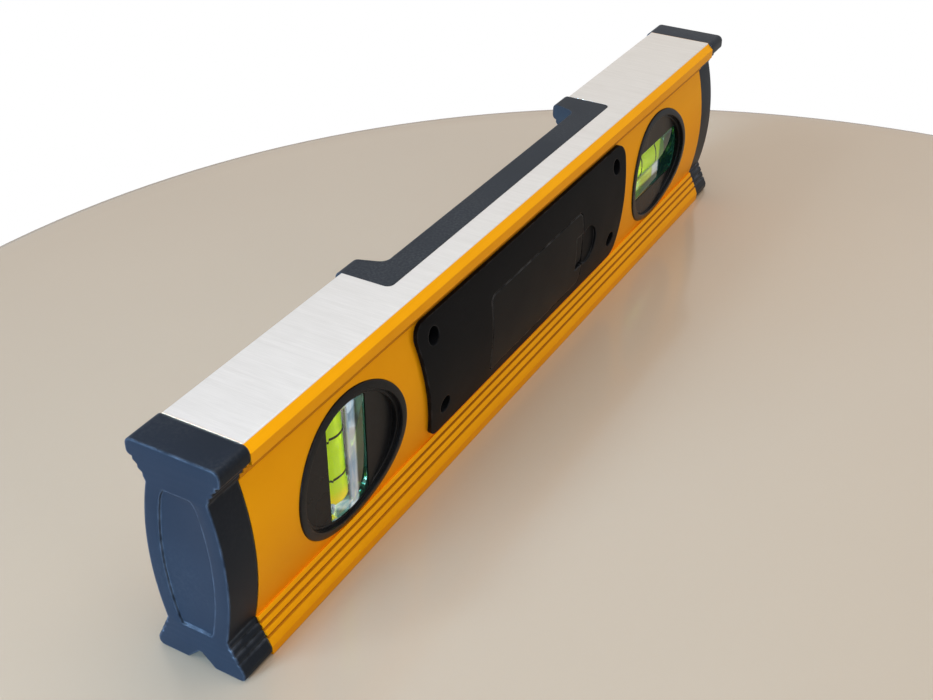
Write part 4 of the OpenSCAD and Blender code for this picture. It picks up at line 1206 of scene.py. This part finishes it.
class LEVEL_OT_magnets(bpy.types.Operator):
    """Finishes the four magnets in the groove of the foot"""
    bl_idname = "level.magnets"
    bl_label = "Base magnets"

    def execute(self, context):
        dress("base_magnets", "magnet_nickel")
        return {"FINISHED"}


class LEVEL_OT_stage(bpy.types.Operator):
    """Sets the plain floor, the soft lamps, the even surround and the camera"""
    bl_idname = "level.stage"
    bl_label = "Floor, lamps and camera"

    def execute(self, context):
        look = context.scene.level_look
        context.scene.view_settings.view_transform = "Standard"
        make_floor(look)
        make_surround(look)
        make_lamp("key_lamp", (-0.15, 0.10, 1.15), (0.0, 0.0, 0.03), (1.0, 0.9), look.key_power)
        make_lamp("side_lamp", (1.05, -0.20, 0.16), (0.14, 0.0, 0.035), (0.5, 0.3),
                  look.side_power, (0.36, 0.64, 1.0), 40.0)
        make_lamp("edge_lamp", (0.80, -0.48, 0.83), (0.14, 0.0, 0.04), (0.2, 0.2),
                  look.edge_power, (0.55, 0.78, 1.0), 30.0)
        make_lamp("fill_lamp", (0.10, 0.95, 0.38), (0.0, 0.0, 0.03), (0.9, 0.5), look.fill_power,
                  (1.0, 0.85, 0.68), 70.0)
        make_camera(look)
        return {"FINISHED"}


STEPS = (LEVEL_OT_extrusion, LEVEL_OT_end_caps, LEVEL_OT_housing, LEVEL_OT_reading,
         LEVEL_OT_buttons, LEVEL_OT_rear_cover, LEVEL_OT_batteries, LEVEL_OT_electronics,
         LEVEL_OT_screws, LEVEL_OT_vials, LEVEL_OT_bezels, LEVEL_OT_magnets, LEVEL_OT_stage)


class LEVEL_PT_panel(bpy.types.Panel):
    """Sidebar panel with the level's sizes, colours, stage and steps."""
    bl_idname = "LEVEL_PT_panel"
    bl_label = "Digital spirit level"
    bl_space_type = "VIEW_3D"
    bl_region_type = "UI"
    bl_category = "Level"

    def draw(self, context):
        scene = context.scene
        for group in (scene.level_sizes, scene.level_colours, scene.level_look):
            box = self.layout.box()
            for name in group.bl_rna.properties.keys():
                if name not in ("rna_type", "name"):
                    box.prop(group, name)
        column = self.layout.column()
        for step in STEPS:
            column.operator(step.bl_idname)


SETTINGS = {"level_sizes": LevelSizes, "level_colours": LevelColours, "level_look": LevelLook}
CLASSES = (*SETTINGS.values(), *STEPS, LEVEL_PT_panel)


def register():
    """Adds the classes and the scene's settings."""
    for made in CLASSES:
        bpy.utils.register_class(made)
    for name, held in SETTINGS.items():
        setattr(bpy.types.Scene, name, bpy.props.PointerProperty(type=held))


def unregister():
    """Takes the settings and the classes away again."""
    for name in reversed(SETTINGS):
        delattr(bpy.types.Scene, name)
    for made in reversed(CLASSES):
        bpy.utils.unregister_class(made)


def main():
    """Makes the whole scene."""
    register()
    for step in STEPS:
        area, name = step.bl_idname.split(".")
        getattr(getattr(bpy.ops, area), name)()
    bpy.context.view_layer.update()


if __name__ == "__main__":
    main()
